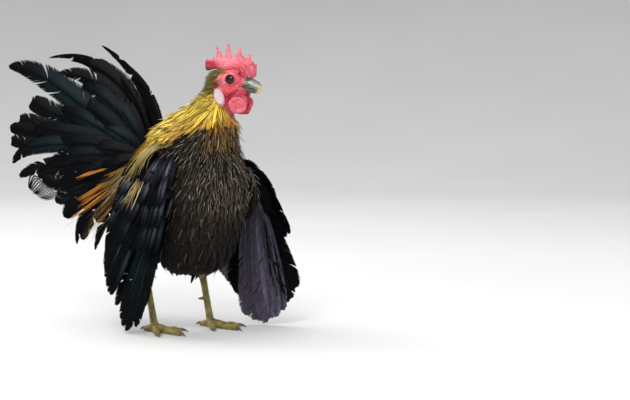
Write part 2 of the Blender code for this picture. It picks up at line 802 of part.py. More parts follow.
def make_body(nodes):
    """The trunk, neck, head and tail root, parted by thin cuts."""
    trunk, skull, root = make_trunk(), make_skull(), make_tail_root()
    helpers = {"trunk": grown(trunk), "skull": grown(skull)}
    core = fuse("core", [trunk, skull])
    for side, word in ((-1, "right"), (1, "left")):
        name = "tail_" + word
        half = make_tail_half(copy_of(root, "half"), side, name, helpers["trunk"])
        nodes[name] = (half, PLUME_BLACK)
    nodes["torso"] = (make_torso(copy_of(core, "torso"), root), BODY_DARK)
    nodes["neck"] = (make_neck(copy_of(core, "neck")), HACKLE_GOLD)
    nodes["head"] = (make_head(core), SKIN_RED)
    return helpers


def make_head_parts(nodes, helpers):
    skull, trunk = helpers["skull"], helpers["trunk"]
    upper = make_upper_bill(skull)
    lower = make_lower_bill(skull)
    upper_helper, lower_helper = grown(upper), grown(lower)
    nodes["beak_upper"] = (upper, HORN)
    nodes["beak_lower"] = (lower, HORN)
    nodes["comb"] = (make_comb([skull, upper_helper]), SKIN_RED)
    around = [skull, trunk, lower_helper]
    for side, word in ((-1, "right"), (1, "left")):
        nodes["wattle_" + word] = (make_wattle(side, "wattle_" + word, around), SKIN_RED)
        nodes["earlobe_" + word] = (make_ear_lobe(side, "earlobe_" + word, [skull, trunk]), LOBE_WHITE)
        nodes["eye_" + word] = (ball("eye_" + word, eye_place(side), [EYE_RADIUS] * 3, sides=14), EYE_BROWN)
    for helper in (upper_helper, lower_helper):
        bpy.data.objects.remove(helper)


def make_limbs(nodes, helpers):
    trunk = helpers["trunk"]
    nodes["wing_right"] = (make_wing(-1, "wing_right", RIGHT_ARM, RIGHT_ROWS, trunk), PLUME_BLACK)
    nodes["wing_left"] = (make_wing(1, "wing_left", LEFT_ARM, LEFT_ROWS, trunk), PLUME_BLACK)
    for side, word in ((-1, "right"), (1, "left")):
        nodes["thigh_" + word] = (make_thigh(side, "thigh_" + word, trunk), BODY_DARK)
        nodes["shank_" + word] = (make_shank(side, "shank_" + word), LEG_OLIVE)
        nodes["foot_" + word] = (make_foot(side, "foot_" + word), LEG_OLIVE)
        for number, (length, turn) in enumerate(TOES, 1):
            name = f"claw_{word}_{number}"
            nodes[name] = (make_claw(side, name, length, turn), CLAW_DARK)


def centre(objects):
    """Shift the whole so that its box is centred over the origin."""
    corners = [vert.co for obj in objects for vert in obj.data.vertices]
    middle = [(min(c[i] for c in corners) + max(c[i] for c in corners)) / 2 for i in (0, 1)]
    for obj in objects:
        obj.location = (-middle[0], -middle[1], 0)


def main():
    clear_scene()
    nodes = {}
    helpers = make_body(nodes)
    make_head_parts(nodes, helpers)
    make_limbs(nodes, helpers)
    for name, (obj, look) in nodes.items():
        obj.name = name
        colour(obj, look)
    centre([obj for obj, look in nodes.values()])


main()
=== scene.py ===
import math

import bmesh
import bpy
import numpy as np
from bpy.props import FloatProperty, FloatVectorProperty, PointerProperty
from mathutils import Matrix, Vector, noise
from mathutils.bvhtree import BVHTree

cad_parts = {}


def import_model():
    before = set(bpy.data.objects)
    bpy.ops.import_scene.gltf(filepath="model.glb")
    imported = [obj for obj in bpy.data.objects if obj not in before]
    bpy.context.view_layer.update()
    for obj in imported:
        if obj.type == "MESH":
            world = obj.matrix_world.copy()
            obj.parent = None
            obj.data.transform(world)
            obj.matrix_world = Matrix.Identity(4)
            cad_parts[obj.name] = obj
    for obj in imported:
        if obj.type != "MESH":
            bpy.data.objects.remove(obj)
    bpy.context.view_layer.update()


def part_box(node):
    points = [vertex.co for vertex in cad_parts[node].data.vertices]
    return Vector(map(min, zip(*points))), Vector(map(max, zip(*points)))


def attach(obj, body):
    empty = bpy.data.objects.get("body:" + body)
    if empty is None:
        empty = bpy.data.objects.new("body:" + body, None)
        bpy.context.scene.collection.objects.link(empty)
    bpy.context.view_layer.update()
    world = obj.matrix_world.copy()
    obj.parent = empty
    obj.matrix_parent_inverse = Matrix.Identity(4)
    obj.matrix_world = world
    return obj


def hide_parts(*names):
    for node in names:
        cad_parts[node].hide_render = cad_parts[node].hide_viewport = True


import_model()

bl_info = {
    "name": "Serama Cock",
    "version": (1, 0, 0),
    "blender": (4, 5, 0),
    "location": "View3D > Sidebar > Serama",
    "description": "Dresses a serama cock with skin, comb, bill, scaled legs and feathers",
    "category": "Object",
}

# Lengths are in millimetres. An array holds left, back and up, as the world's X, Y and Z do,
# and spot() makes one from what is to the bird's left, forward and up.
MM = 0.001
SIDES = {-1: "right", 1: "left"}

# Trunk and neck: height, how far forward the middle is, half depth, half width
TRUNK = (
    (50, 14, 3, 3), (53, 14, 18, 17), (60, 14, 29, 27), (72, 15, 38, 35),
    (88, 17, 44, 40), (106, 19, 48, 43), (124, 21, 49.5, 44), (140, 22, 48, 42.5),
    (153, 20, 46, 39), (164, 17, 45, 36), (174, 18, 43, 32), (184, 25, 36, 27),
    (194, 33, 27, 21), (204, 42, 18, 15.5), (213, 49.5, 13.5, 11.5), (221, 55, 8, 7),
)
# What the neck ends in under the face, before the last rows of the trunk
COLLAR = ((186, 37, 9, 8), (190, 40, 14, 13), (196, 43, 16, 15))
NECK_BASE = 165
NECK_LEAN = 2

# Head: how far along the beak's line, height of the middle, half width, half height
HEAD = (
    (-18, 0.5, 3, 3), (-16.5, 0, 6, 6.5), (-13, -1.2, 9, 9.8),
    (-8, -1.5, 10.2, 11.7), (-2, -1.5, 10.3, 12), (5, -2, 8.8, 11),
    (9.5, -2.5, 7.2, 9), (12.5, -3, 5.2, 6.6), (14, -3.2, 3, 4),
)
HEAD_PLACE = (2, 59, 223)
HEAD_TURN = math.radians(27)
EYE = (4, 6.3, 2)
EYE_RADIUS = 5.2
LID_RADIUS = 4.5
# What swells the skull into a face on each side: its place along, out and up, its half sizes
# along, aside and up, and how fine its mesh is
FACE_FORMS = (
    ("orbit", (4.5, 5.2, 2), (7, 4.6, 7), 4),
    ("cheek", (-3, 6.2, -6.5), (8, 4.4, 6.2), 3),
    ("brow", (4.5, 6.2, 8.4), (6.5, 2.6, 1.9), 3),
    ("ear", (-9, 8.2, -3.5), (3.4, 2.2, 3.4), 3),
    ("gape", (9, 3.4, -6.5), (4.0, 2.2, 2), 3),
)
# What fills the back of the neck: its place, how far its length leans forward, half sizes
NAPE_FORMS = (
    ("nape", (-15.5, 0, -10), 0.6, (15, 7, 7)),
    ("mane", (-23, -1, -20), 1.0, (15, 10, 7.5)),
)

# Bill: along, height of the middle, half width, half height
UPPER_BILL = (
    (9, -0.8, 5.0, 4.6), (13, -0.7, 4.9, 4.9), (17, -1.1, 4.3, 4.6), (21, -1.7, 3.6, 4.2),
    (25, -2.8, 2.6, 3.6), (28, -4.1, 1.7, 2.7), (30.2, -5.7, 0.9, 1.5), (31.2, -7.3, 0.35, 0.5),
)
LOWER_BILL = (
    (8, -6.8, 4.3, 2.5), (12, -6.9, 4.0, 2.5), (17, -7.3, 3.2, 2.2),
    (22, -8.2, 2.2, 1.7), (26, -9.0, 1.2, 1.1), (28.2, -9.2, 0.4, 0.4),
)
BILL_OPEN = 0.06
# A dark form between the halves of the bill: painted shade for the inside of the mouth
MOUTH_SHADE = (
    (9, -5.6, 3.0, 0.8), (13, -5.8, 2.9, 1.0), (18, -6.2, 2.3, 1.0), (23, -7.0, 1.4, 0.9),
    (26, -7.7, 0.6, 0.5),
)

# Comb: along, height of the middle, half width, half height, then its points
COMB = (
    (-22, 14.4, 0.4, 3.8), (-20, 14.7, 1.0, 4.8), (-16, 15.5, 1.6, 4.4), (-11, 16.0, 2.2, 4.4),
    (-5, 15.2, 2.8, 5.6), (1, 14.2, 3.2, 6.5), (8, 13.5, 3.4, 7.4), (15.5, 11.5, 3.2, 8.2),
    (21, 9.9, 2.6, 6.6), (24.8, 9.3, 1.3, 4.0),
)
# Each point of the comb: where it stands, where it ends, its height, its half width, its lean
COMB_POINTS = (
    (-17.8, -20.4, 20.6, 2.8, 0.5), (-13, -14.5, 21.5, 2.4, -1.2), (-8.2, -11.6, 32.2, 3.1, 0.9),
    (-5.2, -8.0, 27, 2.3, -0.9), (-0.4, -1.2, 34, 4.3, 0.8), (4.5, 5.2, 24, 2.6, 1.4),
    (8.8, 10, 31, 4.1, -0.8), (12.5, 14, 23.5, 2.6, -1.5), (15.2, 18.9, 23.8, 4.0, 0.8),
    (18.5, 22.2, 18.6, 3.0, -1.0), (20.4, 24.9, 15.6, 3.0, 0.6),
)
WATTLES = {-1: ((9.6, 6, -18.2), (8.8, 9.6)), 1: ((10.6, 5.5, -19), (9.0, 9.6))}
EAR_LOBES = {-1: (-5.8, 10.8, -12.7), 1: (-4, 17.8, -12.5)}
LOBE_SIZE = (4.7, 8.7)
LOBE_LEAN = math.radians(27)

# Root of the tail, and the fan of each half of it
TAIL_START = (0, -5, 128)
TAIL_RISE = math.radians(37)
TAIL_LENGTH = 55
# The cone of flesh at its root: share of the length, half width, half height
TAIL_CONE = ((-0.2, 25, 21), (0, 26, 22), (0.35, 20, 17), (0.7, 12, 10.5), (0.95, 6, 5), (1.0, 3, 2.5))
TAIL_HUB = (5, -40, 154)
TAIL_SPREAD = math.radians(37)
TAIL_LEAN = math.radians(12.7)

# Legs
FOOT_OUT = 27
STEP = 8
HOCK_HEIGHT = 54
HOCK_BACK = 13
ANKLE_HEIGHT = 9
# Thighs: height, how far out, how far forward of the hock, radius, how much they follow the step
THIGH = (
    (112, 20, 30, 14, 0), (100, 22, 27, 17, 0), (85, 22.5, 21, 17, 0.2), (72, 24, 12, 14.5, 0.5),
    (62, 25.5, 4, 9.5, 0.9),
)
# Toes: length and turn in degrees, where 0 is ahead. Then the scales on the front of the legs.
TOES = ((34, 0), (24, -38), (27, 35), (13, 180))
CLAW_LENGTH = 7
SHANK_PLATE = 2.6
TOE_PLATE = 1.9

# Wings: the arm's middle, its half sizes and its turn in degrees
ARMS = {-1: ((41, 6, 124), (8.5, 31, 29), 4), 1: ((47, 30, 126), (8.5, 29, 27), -18)}

# Heights that the small feathers reach down to, and that those of the thighs reach up to
COAT_END = 56
THIGH_TOP = 68
# Where feathers end and bare skin begins on the head's side: height, then along
FACE_LINE = (
    (-40, 4), (-31, 0.5), (-22, -3), (-14, -9.5), (-6, -12), (1, -10.8), (6.5, -6), (9.5, -0.5),
    (12, 3.5),
)
# How near to the floor a feather's tip may come
TIP_FLOOR = 1.5

# Outlines of feathers: share of the length, share of the half width
QUILL = ((0, 0.3), (0.08, 0.55), (0.25, 0.85), (0.5, 1.0), (0.78, 1.0), (0.9, 0.88), (0.965, 0.6), (1, 0.15))
BLUNT = ((0, 0.3), (0.1, 0.5), (0.4, 0.75), (0.7, 0.95), (0.9, 1.0), (0.97, 0.85), (1, 0.5))
SICKLE = ((0, 0.3), (0.1, 0.6), (0.3, 0.92), (0.5, 1.0), (0.7, 0.9), (0.86, 0.6), (0.95, 0.34), (1, 0.08))
COVERT = ((0, 0.4), (0.2, 0.85), (0.45, 1.0), (0.75, 1.0), (0.88, 0.84), (0.96, 0.5), (1, 0.12))
LANCE = ((0, 0.35), (0.2, 0.9), (0.42, 1.0), (0.68, 0.8), (0.88, 0.4))
CONTOUR = ((0, 0.4), (0.25, 0.95), (0.52, 1.0), (0.78, 0.8), (0.93, 0.42))
ROUND = ((0, 0.45), (0.25, 0.95), (0.55, 1.0), (0.82, 0.86), (0.95, 0.5))
HAIR = ((0, 1.0), (0.5, 0.8))

# Rows of large feathers. A row has a count, the ends of its line of roots, three points of the
# arc of its tips, the way it faces, its first and last half widths, an outline, a bow and a
# twist in degrees.
RIGHT_ROWS = (
    (11, ((43, 24, 102), (42, 14, 124)), ((50, 15, 62), (53, -12, -46), (54, -34, 40)),
     (1, 0.25, 0.15), (6.5, 7), QUILL, 2, -11),
    (10, ((45, 8, 118), (41, -16, 130)), ((60, -28, 34), (60, -42, 50), (54, -40, 78)),
     (1, 0.1, 0.15), (7, 7.5), QUILL, 4, -10),
    (11, ((46, 29, 118), (44, -14, 134)), ((55, 24, 76), (64, -8, 70), (60, -32, 92)),
     (1, 0.2, 0.2), (6.5, 6.5), COVERT, 4, -9),
    (10, ((45, 29, 134), (42, -8, 141)), ((56, 28, 96), (64, 4, 96), (60, -26, 112)),
     (1, 0.2, 0.3), (6, 6), COVERT, 5, -9),
    (10, ((41, 27, 147), (38, -10, 150)), ((53, 28, 114), (60, 8, 112), (56, -24, 126)),
     (1, 0.2, 0.4), (6, 6), COVERT, 5, -9),
    (9, ((33, 30, 160), (29, -10, 163)), ((48, 32, 132), (55, 8, 130), (50, -26, 140)),
     (1, 0.2, 0.7), (5.5, 5.5), COVERT, 4, -9),
)
LEFT_ROWS = (
    (10, ((60, 48, 106), (49, 38, 124)), ((84, 62, 36), (74, 46, -6), (61, 22, 4)),
     (0.935, -0.35, 0.1), (8, 9), QUILL, 3, -15),
    (10, ((51, 34, 122), (45, 6, 132)), ((64, 14, 20), (62, -12, 44), (56, -36, 74)),
     (0.96, -0.25, 0.1), (7.5, 8), QUILL, 4, -10),
    (12, ((54, 47, 134), (46, 10, 140)), ((78, 58, 86), (79, 40, 60), (64, -6, 92)),
     (0.95, -0.3, 0.1), (5.5, 7), COVERT, 3, -9),
    (12, ((50, 45, 146), (43, 12, 148)), ((67, 53, 116), (74, 32, 102), (61, 0, 120)),
     (0.95, -0.3, 0.3), (5.5, 7), COVERT, 4, -9),
    (8, ((49, 56, 140), (54, 58, 112)), ((64, 59, 114), (68, 60, 99), (70, 60, 84)),
     (0.8, 0.6, 0.1), (5, 5.5), COVERT, 3, -9),
    (12, ((41, 43, 154), (33, 0, 160)), ((57, 46, 133), (62, 24, 127), (53, -12, 138)),
     (0.9, 0, 0.7), (5.5, 5.5), COVERT, 4, -9),
)

# Tail feathers of one half, drawn on its fan's face: two bends and the tip, each as how far back
# and up from the hub, then half width, lift off the face, outline and extras. Some vanes are
# ragged, and one is like a comb.
RAGGED = {"splits": 4, "parting": 0.13}
COMBED = {"lower": 11, "fill": 0.42, "sweep": 0.5, "parting": 0.5, "step": 2.6}
TAIL_ROWS = (
    ((9, 38), (26, 68), (44, 88), 6, 0, QUILL, {}),
    ((12, 42), (30, 72), (52, 92), 8, 0.8, QUILL, {}),
    ((8, 40), (21, 75), (60, 90), 10, 1.8, QUILL, {"splits": 3}),
    ((20, 50), (50, 83), (87, 79), 10.5, 3.0, SICKLE, {"splits": 3}),
    ((45, 8), (96, 11), (129, 16), 7.5, 0, BLUNT, RAGGED),
    ((44, 18), (92, 30), (122, 36), 8, 0.4, BLUNT, RAGGED),
    ((41, 26), (84, 37), (112, 53), 10, 1.0, BLUNT, RAGGED),
    ((45, 12), (92, 23), (131, 28), 9.5, 1.6, QUILL, {"splits": 3, "parting": 0.2}),
    ((44, -6), (81, -9), (102, -17), 7.5, 0.4, QUILL, RAGGED),
    ((44, -2), (87, 3), (119, -18), 6.5, 1.8, QUILL, {}),
    ((42, -18), (76, -36), (97, -17), 8.5, 1.1, QUILL, RAGGED),
    ((40, -30), (80, -52), (109, -14), 4, 1.2, BLUNT, COMBED),
    ((35, -16), (66, -30), (84, -41), 9, 1.0, QUILL, RAGGED),
    ((33, -18), (62, -34), (74, -56), 9, 1.8, QUILL, {}),
    ((30, -20), (63, -44), (62, -80), 6, 2.6, SICKLE, {}),
    ((27, -25), (52, -50), (57, -76), 6, 2.0, QUILL, {}),
    ((23, -29), (40, -59), (45, -85), 5.5, 3.0, SICKLE, {}),
    ((19, -34), (31, -62), (35, -87), 5.5, 3.6, SICKLE, {}),
    ((46, 28), (99, 90), (134, 85), 14, 5.0, SICKLE, {"splits": 2, "parting": 0.06}),
    ((45, 8), (111, 24), (125, -6), 10, 4.4, SICKLE, {"splits": 2}),
    ((18, 38), (44, 62), (64, 66), 10, 6.6, COVERT, {}),
    ((14, 30), (28, 52), (44, 60), 9, 7.2, COVERT, {}),
    ((8, 26), (16, 44), (29, 57), 7, 6.8, COVERT, {}),
    ((36, 17), (83, 26), (108, 26), 9, 6.2, COVERT, {"splits": 3}),
    ((34, 20), (62, 38), (82, 46), 10, 6.8, COVERT, {}),
    ((34, 10), (66, 17), (92, 12), 9.5, 7.2, COVERT, {}),
    ((34, 2), (68, 6), (92, -8), 9, 6.8, COVERT, {}),
    ((32, -8), (58, -12), (80, -26), 9, 6.2, COVERT, {}),
    ((26, -16), (46, -28), (60, -46), 8.5, 5.8, COVERT, {}),
    ((20, -20), (34, -38), (44, -60), 7.5, 5.4, COVERT, {}),
    ((30, 28), (50, 46), (66, 50), 10, 8.4, COVERT, {}),
    ((24, 6), (44, 10), (62, 4), 9, 8.6, COVERT, {}),
    ((20, 18), (38, 30), (52, 32), 9, 9, COVERT, {}),
    ((18, -4), (34, -8), (50, -20), 8.5, 8.4, COVERT, {}),
)
# The left half stands less open and lower than the right one, without the feathers of these rows
FAR_SPREAD, FAR_RISE, FAR_GAPS = math.radians(33), 0.88, (0, 1, 2, 21)
# Narrow orange feathers that lie over the lower tail, drawn the same way
TAIL_STRIPES = (
    ((25, -11), (53, -14), (77, -27), 1.5),
    ((16, -11), (25, -15), (40, -18), 1.2),
    ((20, -20), (39, -26), (61, -41), 1.8),
    ((20, -24), (38, -31), (68, -51), 1.4),
    ((20, -29), (39, -37), (70, -57), 1.9),
)
STRIPE_LIFT = 10
STRIPE_BLADES = 7
STRIPE_FORM = ((0, 0.1), (0.2, 0.7), (0.5, 1.0), (0.8, 0.7), (0.95, 0.3))
# The two longest feathers of each half: three points after the tail's own root, then half width
LONG_SICKLES = {
    -1: (
        ((6, -49, 200), (16, -70, 259), (24, -160, 247), 5.2),
        ((8, -57, 196), (14, -87, 247), (18, -134, 244), 4.5),
    ),
    1: (
        ((6, -19, 191), (8, -61, 233), (10, -108, 249.5), 4),
        ((5, -24, 182), (7, -65, 238), (9, -121, 259), 4.5),
    ),
}
SICKLE_ROOT = (2.5, -36, 156)

# Sprays of long narrow hackles on each side: count, three points each for the arcs of their
# roots, bends and tips, half width, two colours, streak strength, scatter, and how much
# further forward the left side's spray hangs
SPRAY = ((0, 0.5), (0.25, 1.0), (0.6, 0.8), (0.85, 0.4))
SPRAYS = (
    (70, ((6, -8, 186), (20, -8, 180), (30, 2, 172)), ((10, -34, 172), (26, -28, 166), (36, -12, 162)),
     ((16, -46, 150), (30, -42, 146), (42, -22, 146)), 1.35, ("straw", "gold"), 0.6, 2.4, 0),
    (54, ((10, -26, 162), (24, -22, 158), (34, -8, 154)), ((26, -44, 148), (38, -40, 142), (44, -26, 140)),
     ((44, -66, 122), (48, -58, 116), (52, -46, 116)), 0.9, ("buff", "straw"), 0.5, 3.6, 0),
    (34, ((22, -28, 146), (30, -20, 140), (34, -12, 136)), ((42, -52, 122), (46, -48, 116), (48, -40, 112)),
     ((50, -84, 86), (50, -76, 80), (48, -62, 84)), 0.5, ("rust", "pale"), 0.5, 4.5, 0),
    (52, ((20, 0, 174), (30, 4, 171), (40, 14, 166)), ((42, -14, 160), (49, -4, 159), (50, 8, 158)),
     ((51, -22, 130), (56, -4, 138), (57, 8, 147)), 0.6, ("pale", "straw"), 0.6, 2.8, 20),
    (14, ((51, -4, 137), (53, 2, 136), (54, 8, 134)), ((56, -8, 126), (57, -2, 125), (58, 4, 124)),
     ((58, -14, 114), (59, -7, 112), (60, 0, 113)), 0.6, ("pale", "rust"), 0.2, 2.8, 20),
)


def spot(left, forward, up):
    """A place, or a way, as an array."""
    return np.array((left, -forward, up), float)


def beside(side, out, forward, up):
    """The same for one side of the bird: side is 1 for its left and -1 for its right."""
    return spot(side * out, forward, up)


def unit(ways):
    length = np.linalg.norm(ways, axis=-1, keepdims=True)
    return ways / np.maximum(length, 1e-9)


def smooth(low, high, value):
    """0 under the low value, 1 over the high one, and a soft step between."""
    t = np.clip((value - low) / (high - low), 0, 1)
    return t * t * (3 - 2 * t)


def layered(value, *layers):
    """A value under layers of others, each followed by its share."""
    for other, share in zip(layers[::2], layers[1::2]):
        value = value * (1 - share) + other * share
    return value


def mixed(first, *layers):
    """The same for rows of colours or places, with a share for each row."""
    for other, share in zip(layers[::2], layers[1::2]):
        first = layered(first, other, np.asarray(share, float)[..., None])
    return first


AHEAD = spot(math.sin(HEAD_TURN), math.cos(HEAD_TURN), 0)
ASIDE = spot(math.cos(HEAD_TURN), -math.sin(HEAD_TURN), 0)
UP = spot(0, 0, 1)
LEFT = spot(1, 0, 0)
FORWARD = spot(0, 1, 0)


def head_spot(along, left, up):
    return spot(*HEAD_PLACE) + AHEAD * along + ASIDE * left + UP * up


def frame_shift():
    """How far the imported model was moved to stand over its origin, from an eye's place."""
    low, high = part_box("eye_left")
    shift = np.array((low + high) / 2) / MM - head_spot(*EYE)
    return shift * np.array((1, 1, 0))


SHIFT = frame_shift()


def world(points):
    """Places in the world, in metres."""
    return (np.asarray(points) + SHIFT) * MM


class Tube:
    """A smooth closed form through ellipses. Its turn is 0 on the first way of each."""

    def __init__(self, middles, ways, sizes):
        first, second = [way * np.reshape(size, (-1, 1)) for way, size in zip(ways, sizes)]
        self.rows = np.concatenate([middles, first, second], axis=1)
        moved = np.linalg.norm(np.diff(middles, axis=0), axis=1)
        grown = np.abs(np.diff(np.linalg.norm(first, axis=1)))
        reach = np.concatenate([[0], np.cumsum(np.hypot(moved, grown))])
        self.place = reach / reach[-1]
        self.length = reach[-1]

    def rows_at(self, share):
        """Rows between the given ones, on a cubic curve."""
        place, rows = self.place, self.rows
        slope = np.gradient(rows, place, axis=0)
        share = np.clip(share, 0, 1)
        low = np.clip(np.searchsorted(place, share, side="right") - 1, 0, len(place) - 2)
        gap = (place[low + 1] - place[low])[:, None]
        t = (share[:, None] - place[low][:, None]) / gap
        ease = t * t * (3 - 2 * t)
        bend = t * (1 - t) ** 2 * slope[low] * gap - t * t * (1 - t) * slope[low + 1] * gap
        return rows[low] * (1 - ease) + rows[low + 1] * ease + bend

    def at(self, share, turn):
        rows = self.rows_at(share)
        cos, sin = np.cos(turn)[:, None], np.sin(turn)[:, None]
        return rows[:, :3] + rows[:, 3:6] * cos + rows[:, 6:] * sin


def wrapped(name, tube, sides, rows, shape=None):
    """A sphere's mesh wrapped round a tube. The shape may move its points further."""
    bm = bmesh.new()
    bmesh.ops.create_uvsphere(bm, u_segments=sides, v_segments=rows, radius=1)
    unit_places = np.array([vert.co for vert in bm.verts])
    share = 0.5 + np.arcsin(np.clip(unit_places[:, 2], -1, 1)) / math.pi
    turn = np.arctan2(unit_places[:, 1], unit_places[:, 0])
    pole = np.hypot(unit_places[:, 0], unit_places[:, 1]) < 1e-4
    places = tube.at(share, turn)
    places[pole] = tube.rows_at(share)[pole, :3]
    if shape:
        places = shape(places, share, turn)
    for vert, place in zip(bm.verts, world(places)):
        vert.co = place
    return finished(name, bm)


def ellipsoid(name, middle, axes, detail=4):
    """A round ball stretched along three axes."""
    bm = bmesh.new()
    bmesh.ops.create_icosphere(bm, subdivisions=detail, radius=1)
    for vert in bm.verts:
        place = middle + sum(axis * part for axis, part in zip(axes, vert.co))
        vert.co = world(place)
    return finished(name, bm)


def finished(name, bm):
    """Turn a bmesh into a smooth object whose faces point out."""
    bmesh.ops.recalc_face_normals(bm, faces=bm.faces)
    for face in bm.faces:
        face.smooth = True
    mesh = bpy.data.meshes.new(name)
    bm.to_mesh(mesh)
    bm.free()
    obj = bpy.data.objects.new(name, mesh)
    bpy.context.scene.collection.objects.link(obj)
    return obj


def applied(obj):
    """Replace an object's mesh by what its modifiers make of it."""
    graph = bpy.context.evaluated_depsgraph_get()
    mesh = bpy.data.meshes.new_from_object(obj.evaluated_get(graph))
    obj.modifiers.clear()
    obj.data = mesh
    return obj


def joined(name, pieces):
    """One object from the meshes of several."""
    bm = bmesh.new()
    for piece in pieces:
        bm.from_mesh(piece.data)
        bpy.data.objects.remove(piece)
    return finished(name, bm)


def fused(obj, size, rounds):
    """Melt overlapping forms into one skin of small quads, and soften it."""
    melt = obj.modifiers.new("melt", "REMESH")
    melt.mode = "VOXEL"
    melt.voxel_size = size * MM
    melt.use_smooth_shade = True
    soften = obj.modifiers.new("soften", "SMOOTH")
    soften.factor = 0.5
    soften.iterations = rounds
    return applied(obj)


def cut(obj, other, operation):
    """Add or take away another closed object, and remove that one."""
    knife = obj.modifiers.new("knife", "BOOLEAN")
    knife.operation = operation
    knife.object = other
    knife.solver = "MANIFOLD"
    applied(obj)
    bpy.data.objects.remove(other)
    return obj


def point_rows(obj, name):
    """What the points of an object hold under a name, as rows of three."""
    rows = np.empty(len(obj.data.vertices) * 3)
    obj.data.vertices.foreach_get(name, rows)
    return rows.reshape(-1, 3)


def places_of(obj):
    """The places of an object's points, in millimetres."""
    return point_rows(obj, "co") / MM - SHIFT


def pebbled(obj, size, height, mask=1.0):
    """Raise small grains, as on bare skin, by soft noise of a size."""
    places = places_of(obj)
    grains = np.array([noise.noise(Vector(place / size)) for place in places])
    rise = height * (1 - 2 * np.abs(grains)) * mask
    places = places + point_rows(obj, "normal") * rise[:, None]
    obj.data.vertices.foreach_set("co", world(places).ravel())
    obj.data.update()


def colour_points(obj, name, colours):
    """Store a colour for each point."""
    layer = obj.data.color_attributes.new(name, "FLOAT_COLOR", "POINT")
    if colours.shape[1] == 3:
        colours = np.concatenate([colours, np.ones((len(colours), 1))], axis=1)
    layer.data.foreach_set("color", colours.astype(np.float32).ravel())


def head_parts(places):
    """Along, left and up in the head's frame, for each place."""
    moved = places - spot(*HEAD_PLACE)
    return moved @ AHEAD, moved @ ASIDE, moved @ UP


def bareness(places):
    """1 on the bare face and throat, 0 under feathers."""
    along, left, up = head_parts(places)
    heights, edges = zip(*FACE_LINE)
    edge = np.interp(up, heights, edges)
    face = smooth(-1.0, 1.0, along - edge)
    strip = smooth(-26, -22, up) + smooth(10, 7, along - edge) * smooth(-42, -36, up)
    return face * np.clip(strip, 0, 1)


def trunk_tube(depth, rows=TRUNK):
    """The trunk and neck, drawn in by the depth of their coat. Its turn is 0 in front."""
    up, forward, deep, wide = np.transpose(rows)
    lean = NECK_LEAN * np.clip((up - NECK_BASE) / 60, 0, 1)
    inner = depth * (1 - 0.75 * smooth(158, 176, up))
    middles = [spot(*place) for place in zip(lean, forward, up + depth * (up < 60))]
    return Tube(middles, (FORWARD, LEFT), (np.maximum(deep - inner, 2), np.maximum(wide - inner, 2)))


def head_tube(rows):
    """A form along the head's own line, from rows of along, height, half width and half height."""
    along, up, wide, high = np.transpose(rows)
    middles = [head_spot(place, 0, height) for place, height in zip(along, up)]
    return Tube(middles, (UP, ASIDE), (high, wide))


def tail_tube(depth):
    """The cone of flesh that carries the tail."""
    back = spot(0, -math.cos(TAIL_RISE), math.sin(TAIL_RISE))
    rise = spot(0, math.sin(TAIL_RISE), math.cos(TAIL_RISE))
    share, wide, high = np.transpose(TAIL_CONE)
    middles = spot(*TAIL_START) + back * TAIL_LENGTH * share[:, None]
    return Tube(middles, (rise, LEFT), (high - depth * 0.5, wide - depth * 0.5))


def foot_place(side):
    return beside(side, FOOT_OUT, side * STEP, 0)


def hock_place(side):
    return foot_place(side) + spot(0, -HOCK_BACK, HOCK_HEIGHT)


def thigh_tube(side, depth):
    """A thigh, from inside the trunk to the hock."""
    up, out, ahead, radius, share = np.transpose(THIGH)
    ahead = ahead - HOCK_BACK + side * STEP * share
    middles = [beside(side, *place) for place in zip(out, ahead, up)]
    middles += [hock_place(side) + UP * rise for rise in (1.5, -1.5)]
    radius = np.append(radius - depth, (4.6, 3.4))
    return Tube(middles, (FORWARD, LEFT), (radius, radius))


def eye_spot(side):
    along, out, up = EYE
    return head_spot(along, side * out, up)


def lid(side):
    """A soft ring of bare skin round the eye, thicker above."""
    middle = eye_spot(side) + ASIDE * side * 3.6
    bm = bmesh.new()
    bmesh.ops.create_circle(bm, segments=12, radius=1.0)
    for vert in bm.verts:
        x, y = vert.co.xy
        vert.co = world(middle + UP * (LID_RADIUS + x * 0.75) + ASIDE * side * y * 1.1)
    bmesh.ops.spin(
        bm, geom=bm.verts[:] + bm.edges[:], cent=world(middle), axis=Vector(ASIDE),
        angle=2 * math.pi, steps=40, use_merge=True, use_duplicate=False,
    )
    bmesh.ops.remove_doubles(bm, verts=bm.verts, dist=0.02 * MM)
    return finished("lid", bm)


def head_ball(name, middle, sizes, detail):
    """A ball stretched along the head's own ways: along, aside and up."""
    return ellipsoid(name, middle, [way * size for way, size in zip((AHEAD, ASIDE, UP), sizes)], detail)


def eyeball(name, side, radius, detail):
    return head_ball(name, eye_spot(side), (radius, radius, radius), detail)


def face_forms():
    """The forms that swell the skull into a face: cheeks, brows, jaw and throat."""
    forms = [wrapped("skull", head_tube(HEAD), 48, 40)]
    for side in SIDES:
        forms.append(lid(side))
        for name, (along, out, up), sizes, detail in FACE_FORMS:
            forms.append(head_ball(name, head_spot(along, side * out, up), sizes, detail))
    for name, place, lean, (long, wide, deep) in NAPE_FORMS:
        axes = (unit(AHEAD * lean + UP) * long, ASIDE * wide, unit(AHEAD - UP * lean) * deep)
        forms.append(ellipsoid(name, head_spot(*place), axes, 4))
    forms.append(head_ball("jaw", head_spot(4, 0, -10), (8, 5.8, 4.5), 3))
    forms.append(wrapped("collar", trunk_tube(0.4, COLLAR + TRUNK[13:]), 40, 24))
    return forms


